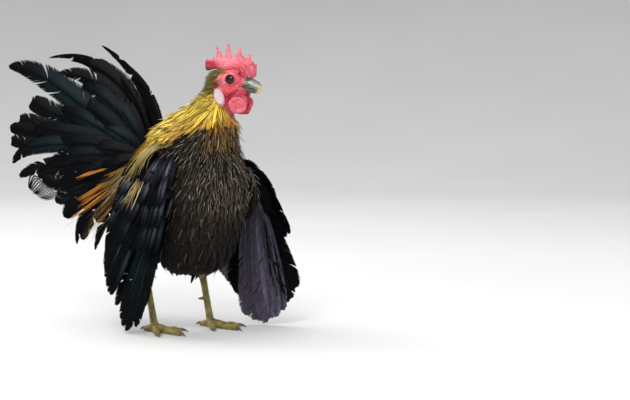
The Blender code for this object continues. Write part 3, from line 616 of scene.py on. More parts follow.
def make_skin(sizes):
    """One skin for trunk, neck, head, tail root, thighs and the arms of the wings."""
    depth = sizes.coat_depth / MM
    trunk = wrapped("trunk", trunk_tube(depth, TRUNK[:14]), 64, 60)
    body = [trunk, wrapped("root", tail_tube(depth), 32, 24)]
    for side in SIDES:
        body.append(wrapped("thigh", thigh_tube(side, depth * 0.7), 32, 24))
        body.append(arm_form(side, 2.5))
    body = fused(joined("body", body), 1.5, 8)
    skin = cut(fused(joined("skin", face_forms()), 0.45, 5), body, "UNION")
    for side in SIDES:
        skin = cut(skin, eyeball("socket", side, EYE_RADIUS + 0.1, 4), "DIFFERENCE")
    for size, height in ((1.5, 0.28), (0.8, 0.12)):
        pebbled(skin, size, height, bareness(places_of(skin)))
    return skin


def arm_form(side, depth):
    (out, forward, up), (wide, long, high), turn = ARMS[side]
    angle = math.radians(turn) * side
    across = spot(math.cos(angle), -math.sin(angle), 0) * (wide - depth)
    along = spot(math.sin(angle), math.cos(angle), 0) * (long - depth)
    return ellipsoid("arm", beside(side, out, forward, up), (across, along, UP * (high - depth)), 4)


VANE_SCALE = 0.01


class Plumage:
    """Feathers of one piece, gathered as arrays until their mesh is made."""

    def __init__(self):
        self.parts = []
        self.count = 0

    def add(self, points, faces, tint, shaft, vane, bake):
        """Points with their triangles, colours, place on the vane in millimetres and bake place."""
        self.parts.append((points, faces + self.count, tint, shaft, vane, bake))
        self.count += len(points)

    def piece(self, name, material, slot_name, *nodes):
        points, faces, tint, shaft, vane, bake = [np.concatenate(part) for part in zip(*self.parts)]
        mesh = bpy.data.meshes.new(name)
        mesh.from_pydata(world(points), [], faces)
        corners = np.empty(len(mesh.loops), np.int32)
        mesh.loops.foreach_get("vertex_index", corners)
        for title, values in (("OFBake", bake), ("Vane", vane * VANE_SCALE)):
            layer = mesh.uv_layers.new(name=title)
            layer.data.foreach_set("uv", values[corners].astype(np.float32).ravel())
        mesh.shade_smooth()
        mesh.set_sharp_from_angle(angle=math.radians(50))
        obj = bpy.data.objects.new(name, mesh)
        bpy.context.scene.collection.objects.link(obj)
        colour_points(obj, "tint", tint)
        colour_points(obj, "shaft", shaft)
        placed(obj, material, slot_name, *nodes)


def placed(obj, material, slot_name, *nodes):
    """Give a piece its material, its body and the nodes that it stands for. Its slot name is not used."""
    obj.data.materials.clear()
    obj.data.materials.append(material)
    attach(obj, "root")
    if nodes:
        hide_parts(*nodes)


def bake_place(roots):
    """Where roots lie on the skin, unrolled round the upright line through the trunk."""
    moved = roots - spot(0, 25, 0)
    turn = np.arctan2(moved[:, 0], moved[:, 1])
    return np.stack([0.5 + turn / (2 * math.pi) * 0.98, moved[:, 2] / 270], axis=1)


BAKE_PATCH = 0.003


def arc(points, t):
    """Places along the smooth arc that a few points pull into shape."""
    rows = list(points)
    while len(rows) > 1:
        rows = [low * (1 - t) + high * t for low, high in zip(rows, rows[1:])]
    return rows[0]


def arc_way(points, t):
    return unit(arc([high - low for low, high in zip(points, points[1:])], t))


def wall_faces(rows, sides):
    """Triangles between rings of points, each ring with a number of sides."""
    faces = []
    for row in range(rows - 1):
        for edge in range(sides):
            low, nearby = row * sides + edge, row * sides + (edge + 1) % sides
            faces += [(low, nearby, nearby + sides), (low, nearby + sides, low + sides)]
    return faces


def small_feathers(plumes, roots, bends, tips, faces, half, form, tint, shaft, thick=0.35, cup=0.15):
    """Many narrow feathers at once, each a lens across with a pointed end."""
    count, rows = len(roots), len(form)
    last, each = rows * 4, rows * 4 + 1
    t, share = np.transpose(form)[:, None, :, None]
    line = (roots[:, None], bends[:, None], tips[:, None])
    place, along = arc(line, t), arc_way(line, t)
    outer = unit(faces[:, None] - along * np.sum(faces[:, None] * along, axis=2, keepdims=True))
    wide = half[:, None, None] * share
    reach = np.cross(along, outer) * wide
    drop = outer * cup * wide
    rise = outer * thick / 2 * (1 - 0.5 * t)
    corners = np.stack([place - reach - drop, place + rise, place + reach - drop, place - rise], axis=2)
    points = np.concatenate([corners.reshape(count, last, 3), tips[:, None]], axis=1)
    length = np.linalg.norm(tips - roots, axis=1)[:, None]
    across = np.array([-1.0, 0.0, 1.0, 0.0]) * wide
    reached = np.broadcast_to(t * length[:, :, None], (count, rows, 4))
    vane = np.stack([across.reshape(count, -1), reached.reshape(count, -1)], axis=2)
    vane = np.concatenate([vane, np.stack([length * 0, length], axis=2)], axis=1)
    template = wall_faces(rows, 4)
    template += [(last - 4 + edge, last - 4 + (edge + 1) % 4, last) for edge in range(4)]
    template += [(0, 2, 1), (0, 3, 2)]
    faces_each = np.array(template)[None, :, ::-1] + (np.arange(count) * each)[:, None, None]
    patch = np.stack([vane[:, :, 0] / half[:, None] / 2, vane[:, :, 1] / length - 0.5], axis=2)
    bake = bake_place(roots)[:, None] + patch * BAKE_PATCH
    plumes.add(
        points.reshape(-1, 3), faces_each.reshape(-1, 3), np.repeat(tint, each, axis=0),
        np.repeat(shaft, each, axis=0), vane.reshape(-1, 2), bake.reshape(-1, 2),
    )


def shaft_tube(points, face, radius, rows=12):
    """A four-sided tapered quill along an arc: its points, triangles and their places along it."""
    t = np.linspace(0, 1, rows)[:, None]
    place, along = arc(points, t), arc_way(points, t)
    outer = unit(face - along * (along @ face)[:, None])
    aside = np.cross(along, outer)
    size = radius * (1 - 0.82 * t)
    ring = [place + aside * size, place + outer * size, place - aside * size, place - outer * size]
    last = rows * 4 - 4
    ends = [(0, 2, 1), (0, 3, 2), (last, last + 1, last + 2), (last, last + 2, last + 3)]
    faces = wall_faces(rows, 4) + ends
    return np.stack(ring, axis=1).reshape(-1, 3), np.array(faces), np.repeat(t[:, 0], 4)


# How the vane of a large feather is made, where its own look doesn't say: how often and how far
# its barbs part, how they slant, fill it, cup it, and how much lighter its tip is
VANE = {"splits": 2, "parting": 0.12, "sweep": 1.25, "fill": 1.0, "cup": 0.16, "toward_tip": 1.0}
BARE_QUILL = 0.07  # share of a large feather's length before its first barb
SPLIT_START = 0.52  # share of its length from which its barbs part
EDGE_FADE = 0.6


def barbed_feather(plumes, chance, points, face, widths, form, look):
    """A large feather: a quill with rows of barbs that split here and there.

    The widths are of the vane on its two sides. The look is a dictionary with tint, edge and
    quill colours, the step between barbs, and what differs from the common vane.
    """
    look = {**VANE, **look}
    line = arc(points, np.linspace(0, 1, 24)[:, None])
    length = np.sum(np.linalg.norm(np.diff(line, axis=0), axis=1))
    centre = look.get("bake", bake_place(points[0][None])[0])
    quill, faces, t = shaft_tube(points, face, 0.4 + length * 0.002)
    plumes.add(
        quill, faces[:, ::-1], np.repeat(look["quill"][None], len(quill), axis=0), np.zeros((len(quill), 4)),
        np.stack([t * 0, t * length], axis=1), centre + np.stack([t * 0, t - 0.5], axis=1) * BAKE_PATCH,
    )
    count = max(int(length / look["step"]), 5)
    starts, shares = np.transpose(form)
    stations = np.array((0, 0.36, 0.8, 1.0))
    for side, width in zip(SIDES, widths):
        first = np.linspace(BARE_QUILL, 0.985, count)
        first = first + chance.uniform(-0.2, 0.2, count) / count
        sweep = look["sweep"] * width * np.interp(first, starts, shares) / length
        left_over = np.maximum(1 - first, 1e-3)
        end = first + left_over * (1 - np.exp(-sweep / left_over))
        end = parted(chance, end, look["splits"], look["parting"])
        reach = width * np.interp(end, starts, shares) * chance.uniform(0.95, 1.02, count)
        reach = np.maximum(reach, 0.25)
        t = first[:, None] + (end - first)[:, None] * stations ** 1.25
        out = reach[:, None] * stations ** 0.92
        step = (first[-1] - first[0]) / count
        half = step * np.array((0.66, 0.7, 0.66, 0.25)) * look["fill"]
        drop = look["cup"] * out * out / max(width, 1) + chance.uniform(-0.04, 0.04, count)[:, None]
        ribs = []
        for shift, lift in ((-1, -0.06), (0, 0.05), (1, 0.06)):
            spread = (t + shift * half)[..., None]
            place, along = arc(points, spread), arc_way(points, spread)
            outer = unit(face - along * (along @ face)[..., None])
            aside = np.cross(along, outer)
            ribs.append(place + aside * (side * out)[..., None] + outer * (lift - drop)[..., None])
        template = np.array(wall_faces(4, 3) + [(0, 2, 1), (9, 10, 11)])[:, ::side]
        faces = template + (np.arange(count) * 12)[:, None, None]
        fade = np.broadcast_to(stations, t.shape)
        shade = look["tint"] * (1 - fade[..., None] * EDGE_FADE) + look["edge"] * fade[..., None] * EDGE_FADE
        shade = shade * chance.uniform(0.75, 1.25, count)[:, None, None]
        shade = shade * (1 + (look["toward_tip"] - 1) * t)[..., None]
        # Painted sheen: a lighter band along the middle of the vane, in place of a gloss highlight
        if "sheen" in look:
            band = np.exp(-((t - 0.5) / 0.22) ** 2) * smooth(1.1, 0.3, fade) * smooth(-0.1, 0.4, fade)
            shade = shade + look["sheen"] * band[..., None]
        tint = np.repeat(shade.reshape(-1, 3), 3, axis=0)
        across, reached = np.repeat([(side * out).ravel(), (t * length).ravel()], 3, axis=1)
        patch = np.stack([across / max(width, 1) / 2, reached / length - 0.5], axis=1)
        plumes.add(
            np.stack(ribs, axis=2).reshape(-1, 3), faces.reshape(-1, 3), tint, np.zeros((len(tint), 4)),
            np.stack([across, reached], axis=1), centre + np.clip(patch, -0.5, 0.5) * BAKE_PATCH,
        )


def parted(chance, ends, splits, parting):
    """Draw the ends of barbs together in groups, so that the vane's outer part splits between them."""
    edges = np.sort(chance.uniform(SPLIT_START, 1.0, splits))
    group = np.searchsorted(edges, ends)
    result = ends.copy()
    for number in range(splits + 1):
        members = group == number
        if members.any():
            middle = ends[members].mean()
            result[members] = middle + (ends[members] - middle) * (1 - parting)
    return np.minimum(result, 1.0)


class Hide:
    """The skin as arrays, to root feathers on and to lay them along."""

    def __init__(self, skin):
        mesh = skin.data
        mesh.calc_loop_triangles()
        triangles = np.empty(len(mesh.loop_triangles) * 3, np.int32)
        mesh.loop_triangles.foreach_get("vertices", triangles)
        triangles = triangles.reshape(-1, 3)
        places = places_of(skin)
        self.corners = places[triangles]
        first, second, third = self.corners.transpose(1, 0, 2)
        self.areas = np.linalg.norm(np.cross(second - first, third - first), axis=1) / 2
        self.tree = BVHTree.FromPolygons(places.tolist(), triangles.tolist())

    def nearest(self, places):
        """The nearest places on the skin, and the ways that it faces there."""
        found = [self.tree.find_nearest(Vector(place)) for place in places]
        return np.array([hit[0] for hit in found]), np.array([hit[1] for hit in found])

    def scattered(self, chance, spacing_at):
        """Places spread over the skin, no nearer to each other than the spacing there."""
        centres = self.corners.mean(axis=1)
        spacing = spacing_at(centres)
        weight = np.where(spacing > 0, self.areas / np.maximum(spacing, 0.1) ** 2, 0)
        count = int(weight.sum() * 3.2)
        chosen = chance.choice(len(centres), count, p=weight / weight.sum())
        one, two = chance.uniform(0, 1, (2, count))
        over = one + two > 1
        one, two = np.where(over, 1 - one, one), np.where(over, 1 - two, two)
        first, second, third = self.corners[chosen].transpose(1, 0, 2)
        places = first + (second - first) * one[:, None] + (third - first) * two[:, None]
        spacing = spacing[chosen]
        kept = thinned(places, spacing)
        return places[kept]


def thinned(places, spacing):
    """Numbers of the places that keep their spacing from all those kept before them."""
    size = float(spacing.max())
    cells = {}
    kept = []
    for number, (place, gap) in enumerate(zip(places.tolist(), spacing.tolist())):
        x, y, z = (int(math.floor(part / size)) for part in place)
        crowd = False
        for cell in ((x + i, y + j, z + k) for i in (-1, 0, 1) for j in (-1, 0, 1) for k in (-1, 0, 1)):
            for other in cells.get(cell, ()):
                if math.dist(place, other) < gap:
                    crowd = True
                    break
            if crowd:
                break
        if not crowd:
            cells.setdefault((x, y, z), []).append(place)
            kept.append(number)
    return np.array(kept)


def around(places):
    """Height, and the cosine and sine of the turn about the trunk: 1, 0 in front and 0, 1 at its left."""
    heights = [row[0] for row in TRUNK]
    middle = np.interp(places[:, 2], heights, [row[1] for row in TRUNK])
    forward, left = -places[:, 1] - middle, places[:, 0]
    reach = np.maximum(np.hypot(forward, left), 1e-6)
    return places[:, 2], forward / reach, left / reach


def near_arm(places):
    """1 on the arms of the wings, 0 elsewhere."""
    masks = []
    for side, ((out, forward, up), (wide, long, high), turn) in ARMS.items():
        moved = places - beside(side, out, forward, up)
        outward = side * moved[:, 0]
        share = np.hypot(moved[:, 1] / (long + 1), moved[:, 2] / (high + 1))
        masks.append(smooth(1.05, 0.9, share) * smooth(-4.5, -1.5, outward))
    return np.maximum(*masks)


def lie(places, normals):
    """The way that the coat lies at each place, along the skin."""
    height, front, left = around(places)
    beside_neck = smooth(0.98, 0.45, front)[:, None]
    behind = smooth(-0.2, -0.8, front)[:, None]
    outward = LEFT * left[:, None]
    over_neck = -UP * 0.62 - FORWARD * 0.95 * beside_neck + outward * 0.15
    over_trunk = -UP - FORWARD * (0.25 + 0.9 * behind * smooth(90, 120, height)[:, None])
    over_trunk = over_trunk + outward * 0.22 * (1 - behind)
    way = mixed(
        over_trunk, over_neck, smooth(158, 172, height), -UP * 0.75 - AHEAD * 0.9, smooth(204, 212, height),
        -UP - FORWARD * 0.45, near_arm(places),
    )
    return unit(way - normals * np.sum(way * normals, axis=1, keepdims=True))


def cape(height, front):
    """1 where the long hackles grow, which begin higher up in front."""
    return smooth(168, 177, height - 14 * smooth(0.1, 0.7, front))


def coat_piece(places):
    """The name of the piece of the coat that grows at each place."""
    height, front, left = around(places)
    piece = np.where(front > -0.15, "breast_feathers", "back_feathers")
    piece = np.where(cape(height, front) > 0.5, "hackles", piece)
    piece = np.where(near_arm(places) >= 0.5, "shoulder_coverts", piece)
    piece = np.where(height > THIGH_TOP, piece, "thigh_feathers")
    return np.where(height > COAT_END, piece, "none")


def coat_marks(places, look):
    """The coat's colours by place: of the vane, and of the streak along the shaft with its strength."""
    height, front, left = around(places)
    neck, arm = cape(height, front), near_arm(places)
    turn = np.arctan2(left, front)
    warm = smooth(-0.35, 0.85, front) * smooth(205, 178, height) + smooth(0.8, 0.97, front) * 0.5
    nape = smooth(207, 219, height) * smooth(4, -6, head_parts(places)[0])
    gold = mixed(look["straw"], look["gold"], np.clip(warm, 0, 1), look["nape"], nape)
    brown = np.exp(-((turn + 0.35) / 0.75) ** 2 - ((height - 128) / 32) ** 2)
    rusty = smooth(0.75, 0.95, front) * smooth(164, 178, height) * (1 - neck)
    vane = mixed(
        look["black"], look["brown"], brown, look["gold"] * 0.4, rusty * 0.35, gold, neck, look["plume"], arm,
    )
    buff = np.exp(-((turn + 0.05) / 0.9) ** 2) * smooth(92, 135, height)
    streak = mixed(look["buff"] * 0.35, look["buff"], buff, look["shaft"], neck)
    strength = np.clip(0.1 + 0.4 * buff, 0, 1) * (1 - neck) + 0.75 * neck
    return vane, np.column_stack([streak, strength * (1 - arm)])


def coat_sizes(places, ways):
    """Length, half width and lift of the feather at each place."""
    height, front, left = around(places)
    head, neck, arm = smooth(203, 211, height), cape(height, front), near_arm(places)
    low = smooth(95, 70, height)
    end = 169 + 3 * (1 - front) + 8 * smooth(0.2, 0.8, front)
    hackle = np.clip((height - end) / np.maximum(-ways[:, 2], 0.4), 8, 27)
    hackle = hackle * (1 - 0.35 * smooth(0.6, 1, front))
    neck_lift = 2.2 + 1.2 * smooth(0.5, -0.6, front)
    head_lift = 0.5 + 1.5 * smooth(0, -12, head_parts(places)[0])
    length = layered(13 + 3 * low, hackle, neck, 6.5, head, 15, arm)
    half = layered(1.7 + 0.3 * low, 1.35, neck, 0.75, head, 3.6, arm)
    lift = layered(1.5 + 1.6 * low + neck_lift * neck, head_lift, head, 0.8, arm)
    return length, half, lift


def coat_spacing(places):
    """The distance between roots at each place: 0 where the skin is bare."""
    height, front, left = around(places)
    spacing = layered(3.1 - 0.6 * cape(height, front), 1.15, smooth(203, 211, height), 4.6, near_arm(places))
    return np.where(bareness(places) > 0.5, 0, spacing)


def coat_feathers(hide, chance, look, wanted, plumes, form):
    """Root small feathers on the skin wherever the test wants them."""
    roots = hide.scattered(chance, lambda places: np.where(wanted(places), coat_spacing(places), 0))
    count = len(roots)
    places, normals = hide.nearest(roots)
    ways = lie(places, normals)
    length, half, lift = coat_sizes(places, ways)
    ways = unit(ways + np.cross(normals, ways) * chance.normal(0, 0.16, count)[:, None])
    length = length * chance.uniform(0.8, 1.2, count)
    middle, middle_normals = hide.nearest(places + ways * length[:, None] * 0.5)
    end, end_normals = hide.nearest(places + ways * length[:, None])
    end = places + unit(end - places) * length[:, None]
    stray = 1 + np.abs(chance.normal(0, 0.5, count))
    bends = middle + middle_normals * (lift * 1.25)[:, None]
    tips = end + end_normals * (lift * stray)[:, None]
    tint, shaft = coat_marks(places, look)
    tint = tint * chance.uniform(0.5, 1.5, (count, 1))
    dull = (chance.uniform(0, 1, count) < 0.1) * smooth(168, 178, places[:, 2])
    tint = mixed(tint, look["nape"], dull * 0.8)
    shaft[:, 3] = shaft[:, 3] * (chance.uniform(0, 1, count) < 0.8)
    small_feathers(
        plumes, places - normals * 0.8, bends, tips, normals + middle_normals,
        half * chance.uniform(0.8, 1.2, count), form, tint, shaft,
    )


def wispy(places):
    """Whether the coat carries many pale wisps: on the upper breast and the shoulders."""
    height, front, left = around(places)
    return (height > 112 + 30 * (1 - front)) & (front > -0.3)


def ear_tufts(hide, chance, plumes, look, count=60):
    """Hair-like feathers over the ears."""
    for side in SIDES:
        spots = head_spot(-8, side * 10, -1.5) + chance.normal(0, 1, (count, 1)) * AHEAD * 1.3
        spots = spots + chance.normal(0, 1, (count, 1)) * UP * 1.5
        places, normals = hide.nearest(spots)
        ways = unit(-AHEAD * 0.9 - UP * 0.5 + chance.normal(0, 0.25, places.shape))
        bends = places + ways * 1.8 + normals * 0.7
        tips = places + ways * chance.uniform(2.5, 4.5, (count, 1)) + normals * 0.5
        tint = mixed(look["nape"], look["crimson"] * 0.4, chance.uniform(0, 1, count))
        small_feathers(
            plumes, places, bends, tips, normals, np.full(count, 0.26), HAIR, tint, np.zeros((count, 4)),
        )


def stray_hairs(hide, chance, wanted, plumes, spacing, length, lift, colour, half_width):
    """Fine loose barbs over the coat."""
    roots = hide.scattered(chance, lambda places: np.where(wanted(places), spacing, 0))
    count = len(roots)
    places, normals = hide.nearest(roots)
    ways = lie(places, normals)
    ways = unit(ways + chance.normal(0, 0.2, places.shape))
    reach = length * chance.uniform(0.5, 1.3, count)
    aside = np.cross(normals, ways) * (reach * chance.normal(0, 0.1, count))[:, None]
    bends = places + ways * reach[:, None] * 0.5 + normals * (lift * 1.3) + aside
    tips = places + ways * reach[:, None] + normals * lift * chance.uniform(0.5, 1.5, (count, 1))
    half = half_width * chance.uniform(0.7, 1.3, count)
    tint = colour * chance.uniform(0.4, 1.5, (count, 1))
    small_feathers(
        plumes, places, bends, tips, normals, half, HAIR, tint, np.zeros((count, 4)), thick=half_width * 1.6,
    )


def turned(face, along, degrees):
    """A way turned about another."""
    angle = math.radians(degrees)
    return face * math.cos(angle) + np.cross(along, face) * math.sin(angle)


def feather_row(plumes, chance, side, row, look):
    """Large feathers side by side, from roots on one line to tips on an arc."""
    count, roots, tips, face, widths, form, bow, twist = row
    roots = [beside(side, *point) for point in roots]
    tips = [beside(side, *point) for point in tips]
    face = unit(beside(side, *face))
    for i in range(count):
        t = (i + chance.uniform(-0.15, 0.15)) / (count - 1)
        t = min(max(t, 0), 1)
        root = roots[0] * (1 - t) + roots[1] * t
        tip = arc(tips, t) + chance.normal(0, 0.8, 3)
        tip[2] = max(tip[2], TIP_FLOOR)
        bend = (root + tip) / 2 + face * bow
        half = widths[0] + (widths[1] - widths[0]) * t
        outer = turned(face, unit(tip - root), side * twist)
        if "start" in look:
            look["tint"] = mixed(look["start"], look["end"], smooth(0.2, 0.42, t)) * chance.uniform(0.6, 1.25)
            look["edge"], look["quill"] = look["tint"] * (3.0 if 0.3 < t < 0.48 else 0.8), look["tint"] * 2.5
        # Each feather takes a random share of its row's painted gloss, as its painted sheen
        if "gloss" in look:
            look["sheen"] = look["gloss"] * chance.uniform(0, 1.1) ** 2
        shift = face * 0.25 * (i % 3)
        mine = dict(look, bake=np.array((0.2 + 0.3 * (side > 0) + 0.004 * i, 0.1 + look["row"] * 0.01)))
        barbed_feather(
            plumes, chance, (root + shift, bend + shift, tip + shift), outer,
            (half * 0.85, half * 1.1) if side < 0 else (half * 1.1, half * 0.85), form, mine,
        )


def fan_axes(side):
    """The open tail's own frame on one side: back and out, up along its face, and off its face."""
    spread = TAIL_SPREAD if side < 0 else FAR_SPREAD
    back = spot(side * math.sin(spread), -math.cos(spread), 0)
    flat = spot(side * math.cos(spread), math.sin(spread), 0)
    off = flat * math.cos(TAIL_LEAN) + UP * math.sin(TAIL_LEAN)
    rise = flat * -math.sin(TAIL_LEAN) + UP * math.cos(TAIL_LEAN)
    return back, rise, off


def fan_line(side, turns, lift):
    """A tail feather's line from the hub through turns on the fan's face, bowed off it a little."""
    back, rise, off = fan_axes(side)
    hub = beside(side, *TAIL_HUB)
    lifts = (lift, lift + 3, lift + 2, lift * 0.5)
    turns = ((0, 0),) + tuple(turns)
    return [hub + back * reach + rise * up + off * high for (reach, up), high in zip(turns, lifts)], off


def spike(root, end, height, half, lean):
    """One tapered point of the comb."""
    share, sizes = np.transpose(((0, 1.1), (0.3, 1.0), (0.5, 0.62), (0.7, 0.4), (0.88, 0.22), (1.0, 0.08)))
    sizes = sizes * half
    start, tip = head_spot(root, 0, 12), head_spot(end, lean, height)
    middles = [start + (tip - start) * t + AHEAD * (end - root) * 0.2 * t * (t - 1) for t in share]
    return wrapped("spike", Tube(middles, (AHEAD, ASIDE), (sizes, np.maximum(sizes * 0.62, 0.25))), 16, 16)


def fleshy_disc(name, middle, along, upward, out, sizes, thick, folds):
    """A hanging flap with a thick rim, a hollow face and soft folds at its edge."""
    bm = bmesh.new()
    bmesh.ops.create_icosphere(bm, subdivisions=5, radius=1)
    for vert in bm.verts:
        x, y, z = vert.co
        reach = min(math.hypot(x, y), 1)
        turn = math.atan2(y, x)
        wave = 1 + folds * reach * math.sin(5 * turn)
        rim = 0.5 + 0.55 * math.exp(-((reach - 0.8) / 0.18) ** 2)
        ruffle = 16 * folds * reach * math.cos(4 * turn)
        depth = math.copysign(abs(z) ** 0.6, z) * rim * thick + ruffle
        place = middle + along * x * sizes[0] * wave + upward * y * sizes[1] * wave + out * depth
        vert.co = world(place)
    return finished(name, bm)


def make_comb():
    forms = [wrapped("comb", head_tube(COMB), 40, 64)]
    forms += [spike(*row) for row in COMB_POINTS]
    comb = fused(joined("comb", forms), 0.38, 4)
    pebbled(comb, 1.3, 0.34)
    pebbled(comb, 0.7, 0.12)
    return comb


def make_wattle(side):
    """A hanging wattle: a flap, the stem that holds it and a fold over it."""
    (along, out, up), sizes = WATTLES[side]
    name = "wattle_" + SIDES[side]
    flap = fleshy_disc(
        name, head_spot(along, side * out, up), AHEAD, UP, unit(ASIDE * side - UP * 0.1), sizes, 1.7, 0.055,
    )
    stem = head_ball("stem", head_spot(along + 0.5, side * (out - 1.2), up + 9.5), (7.0, 2.4, 5.0), 3)
    axes = (unit(AHEAD + UP * 0.9) * 8.0, ASIDE * 1.7, unit(UP - AHEAD * 0.9) * 2.6)
    fold = ellipsoid("fold", head_spot(along - 3.5, side * (out + 1.2), up + 4.5), axes, 3)
    flap = fused(joined(name, [flap, stem, fold]), 0.4, 4)
    pebbled(flap, 1.6, 0.22)
    return flap


def make_lobe(side):
    along, out, up = EAR_LOBES[side]
    outward = unit(ASIDE * side - AHEAD * 0.25 + UP * 0.1)
    lean = unit(UP * math.cos(LOBE_LEAN) - AHEAD * math.sin(LOBE_LEAN))
    across = unit(np.cross(outward, lean))
    lean = unit(np.cross(across, outward))
    place = head_spot(along, side * out, up)
    return fleshy_disc("earlobe_" + SIDES[side], place, across, lean, outward, LOBE_SIZE, 1.8, 0.0)


def mouth(along):
    """Height of the mouth's line at a place along the bill."""
    return -4.9 - 0.005 * (along - 9) ** 2


def make_upper_bill():
    def shape(places, share, turn):
        along, left, up = head_parts(places)
        line = mouth(along)
        lifted = np.where(up < line, line + (up - line) * 0.12, up)
        ridge = np.exp(-(left / 1.6) ** 2) * smooth(-4, 3, up) * 0.5
        nostril = np.exp(-((along - 17.5) / 1.7) ** 2 - ((up - 1.4) / 0.7) ** 2) * 1.2
        swell = np.exp(-((along - 14) / 2.6) ** 2 - ((up + 0.6) / 1.6) ** 2) * 0.7
        out = (np.abs(left) - nostril + swell) * np.sign(left)
        out = np.where(np.abs(left) < 0.6, left, out)
        return head_spot(along[:, None], out[:, None], (lifted + ridge)[:, None])

    return wrapped("beak_upper", head_tube(UPPER_BILL), 72, 80, shape)


def make_lower_bill():
    def shape(places, share, turn):
        along, left, up = head_parts(places)
        line = mouth(along) - 0.4 - BILL_OPEN * (along - 9)
        hollow = 0.5 * np.clip(1 - np.abs(left) / 2.5, 0, 1) * smooth(26, 20, along)
        sunk = np.where(up > line, line + (up - line) * 0.1 - hollow, up)
        return head_spot(along[:, None], left[:, None], sunk[:, None])

    return wrapped("beak_lower", head_tube(LOWER_BILL), 56, 64, shape)


def scaled(tube, places, share, turn, length, step, height, reach):
    """Move a leg's surface out in lapping plates on its front, each a step long."""
    outward = unit(places - tube.rows_at(share)[:, :3])
    plate = (share * length / step) % 1.0
    front = smooth(reach, reach - 0.35, np.abs(turn) / math.pi)
    return places + outward * (height * (plate ** 1.5) * front)[:, None]


def make_shank(side):
    """A shank in scales, with its spur."""
    top, bottom = hock_place(side) + UP * 4, foot_place(side) + UP * (ANKLE_HEIGHT - 4)
    share = np.linspace(0, 1, 9)
    radius = 3.0 + 1.9 * (1 - share) ** 5 + 0.8 * share ** 5
    tube = Tube(top + (bottom - top) * share[:, None], (FORWARD, LEFT), (radius, radius * 0.92))

    def shape(places, share, turn):
        return scaled(tube, places, share, turn, tube.length, SHANK_PLATE, 0.5, 0.62)

    name = "shank_" + SIDES[side]
    share, radius = np.transpose(((0, 1.7), (0.45, 1.5), (0.8, 0.9), (1.0, 0.2)))
    middles = top + (bottom - top) * 0.6 + beside(side, -6.5, -4.5, -0.5) * share[:, None]
    spur = wrapped("spur", Tube(middles, (UP, FORWARD), (radius, radius)), 20, 16)
    return joined(name, [wrapped(name, tube, 40, 220, shape), spur])


def toe_way(side, turn):
    angle = math.radians(turn)
    return unit(beside(side, math.sin(angle), math.cos(angle), 0))


def make_toe(side, length, turn):
    way = toe_way(side, turn)
    share = np.linspace(0, 1, 14)
    joints = 0.28 * np.cos(share * math.pi * 2 * round(length / 11))
    radius = 3.3 - 1.1 * share - joints * (0.3 + 0.7 * share)
    middles = [
        foot_place(side) + way * (length - 0.2) * t + UP * (size - 0.35 + 2.0 * (1 - t) ** 3)
        for t, size in zip(share, radius)
    ]
    tube = Tube(middles, (UP, np.cross(way, UP)), (radius, radius))

    def shape(places, share, turn):
        places = scaled(tube, places, share, turn, length, TOE_PLATE, 0.42, 0.55)
        places[:, 2] = np.maximum(places[:, 2], 0)
        return places

    return wrapped("toe", tube, 32, int(length * 4), shape)


def make_foot(side):
    ankle = ellipsoid("ankle", foot_place(side) + UP * 5, (LEFT * 4.6, FORWARD * 4.9, UP * 5), 4)
    return joined("foot_" + SIDES[side], [ankle] + [make_toe(side, length, turn) for length, turn in TOES])


def make_claws(side):
    """The four claws of a foot, each from inside its toe's end."""
    share = np.array((0, 0.3, 0.6, 0.85, 1.0))
    heights = (2.3, 2.6, 2.1, 1.1, 0.5)
    sizes = np.array((1.75, 1.5, 1.05, 0.5, 0.15))
    forms = []
    for length, turn in TOES:
        way = toe_way(side, turn)
        start = foot_place(side) + way * (length - 2.0)
        middles = [start + way * (CLAW_LENGTH + 2) * t + UP * height for t, height in zip(share, heights)]
        forms.append(wrapped("claw", Tube(middles, (UP, np.cross(way, UP)), (sizes, sizes * 0.8)), 20, 24))
    return joined("claws_" + SIDES[side], forms)


def new_material(name, **values):
    """A material with a Principled shader whose own sockets hold the values."""
    material = bpy.data.materials.new(name)
    material.use_nodes = True
    shader = material.node_tree.nodes["Principled BSDF"]
    for title, value in values.items():
        shader.inputs[title.replace("_", " ")].default_value = value
    return material, material.node_tree, shader


def node(tree, kind, inputs=None, **settings):
    """Add a node. An input is a value, or a socket to link from."""
    made = tree.nodes.new(kind)
    for title, value in settings.items():
        setattr(made, title, value)
    for key, value in (inputs or {}).items():
        if isinstance(value, bpy.types.NodeSocket):
            tree.links.new(value, made.inputs[key])
        else:
            made.inputs[key].default_value = value
    return made


def wire(tree, made, **sockets):
    """Link sockets to the inputs of a node that they are named after."""
    for title, socket in sockets.items():
        tree.links.new(socket, made.inputs[title.replace("_", " ")])


def blend(tree, share, first, second, kind="MIX"):
    """A mix of two colours: each is a colour or a socket."""
    first, second = [
        value if isinstance(value, bpy.types.NodeSocket) else (*value, 1) for value in (first, second)
    ]
    made = node(tree, "ShaderNodeMix", {0: share, 6: first, 7: second}, data_type="RGBA", blend_type=kind)
    return made.outputs[2]


def span(tree, value, low, high, start=0.0, end=1.0):
    """A value brought from one span to another, smoothly."""
    inputs = {0: value, 1: low, 2: high, 3: start, 4: end}
    return node(tree, "ShaderNodeMapRange", inputs, interpolation_type="SMOOTHSTEP").outputs[0]


def maths(tree, operation, first, second=0.0):
    return node(tree, "ShaderNodeMath", {0: first, 1: second}, operation=operation).outputs[0]


def grey(tree, value):
    """A value as a colour."""
    return node(tree, "ShaderNodeCombineColor", {0: value, 1: value, 2: value}).outputs[0]


def bump(tree, height, strength, distance):
    """The normal of a surface that heights raise by up to a distance in metres."""
    inputs = {"Height": height, "Strength": strength, "Distance": distance}
    return node(tree, "ShaderNodeBump", inputs).outputs[0]


def painted_colour(tree, name):
    """A colour stored on the mesh."""
    return node(tree, "ShaderNodeVertexColor", layer_name=name).outputs["Color"]


def object_place(tree):
    return node(tree, "ShaderNodeTexCoord").outputs["Object"]


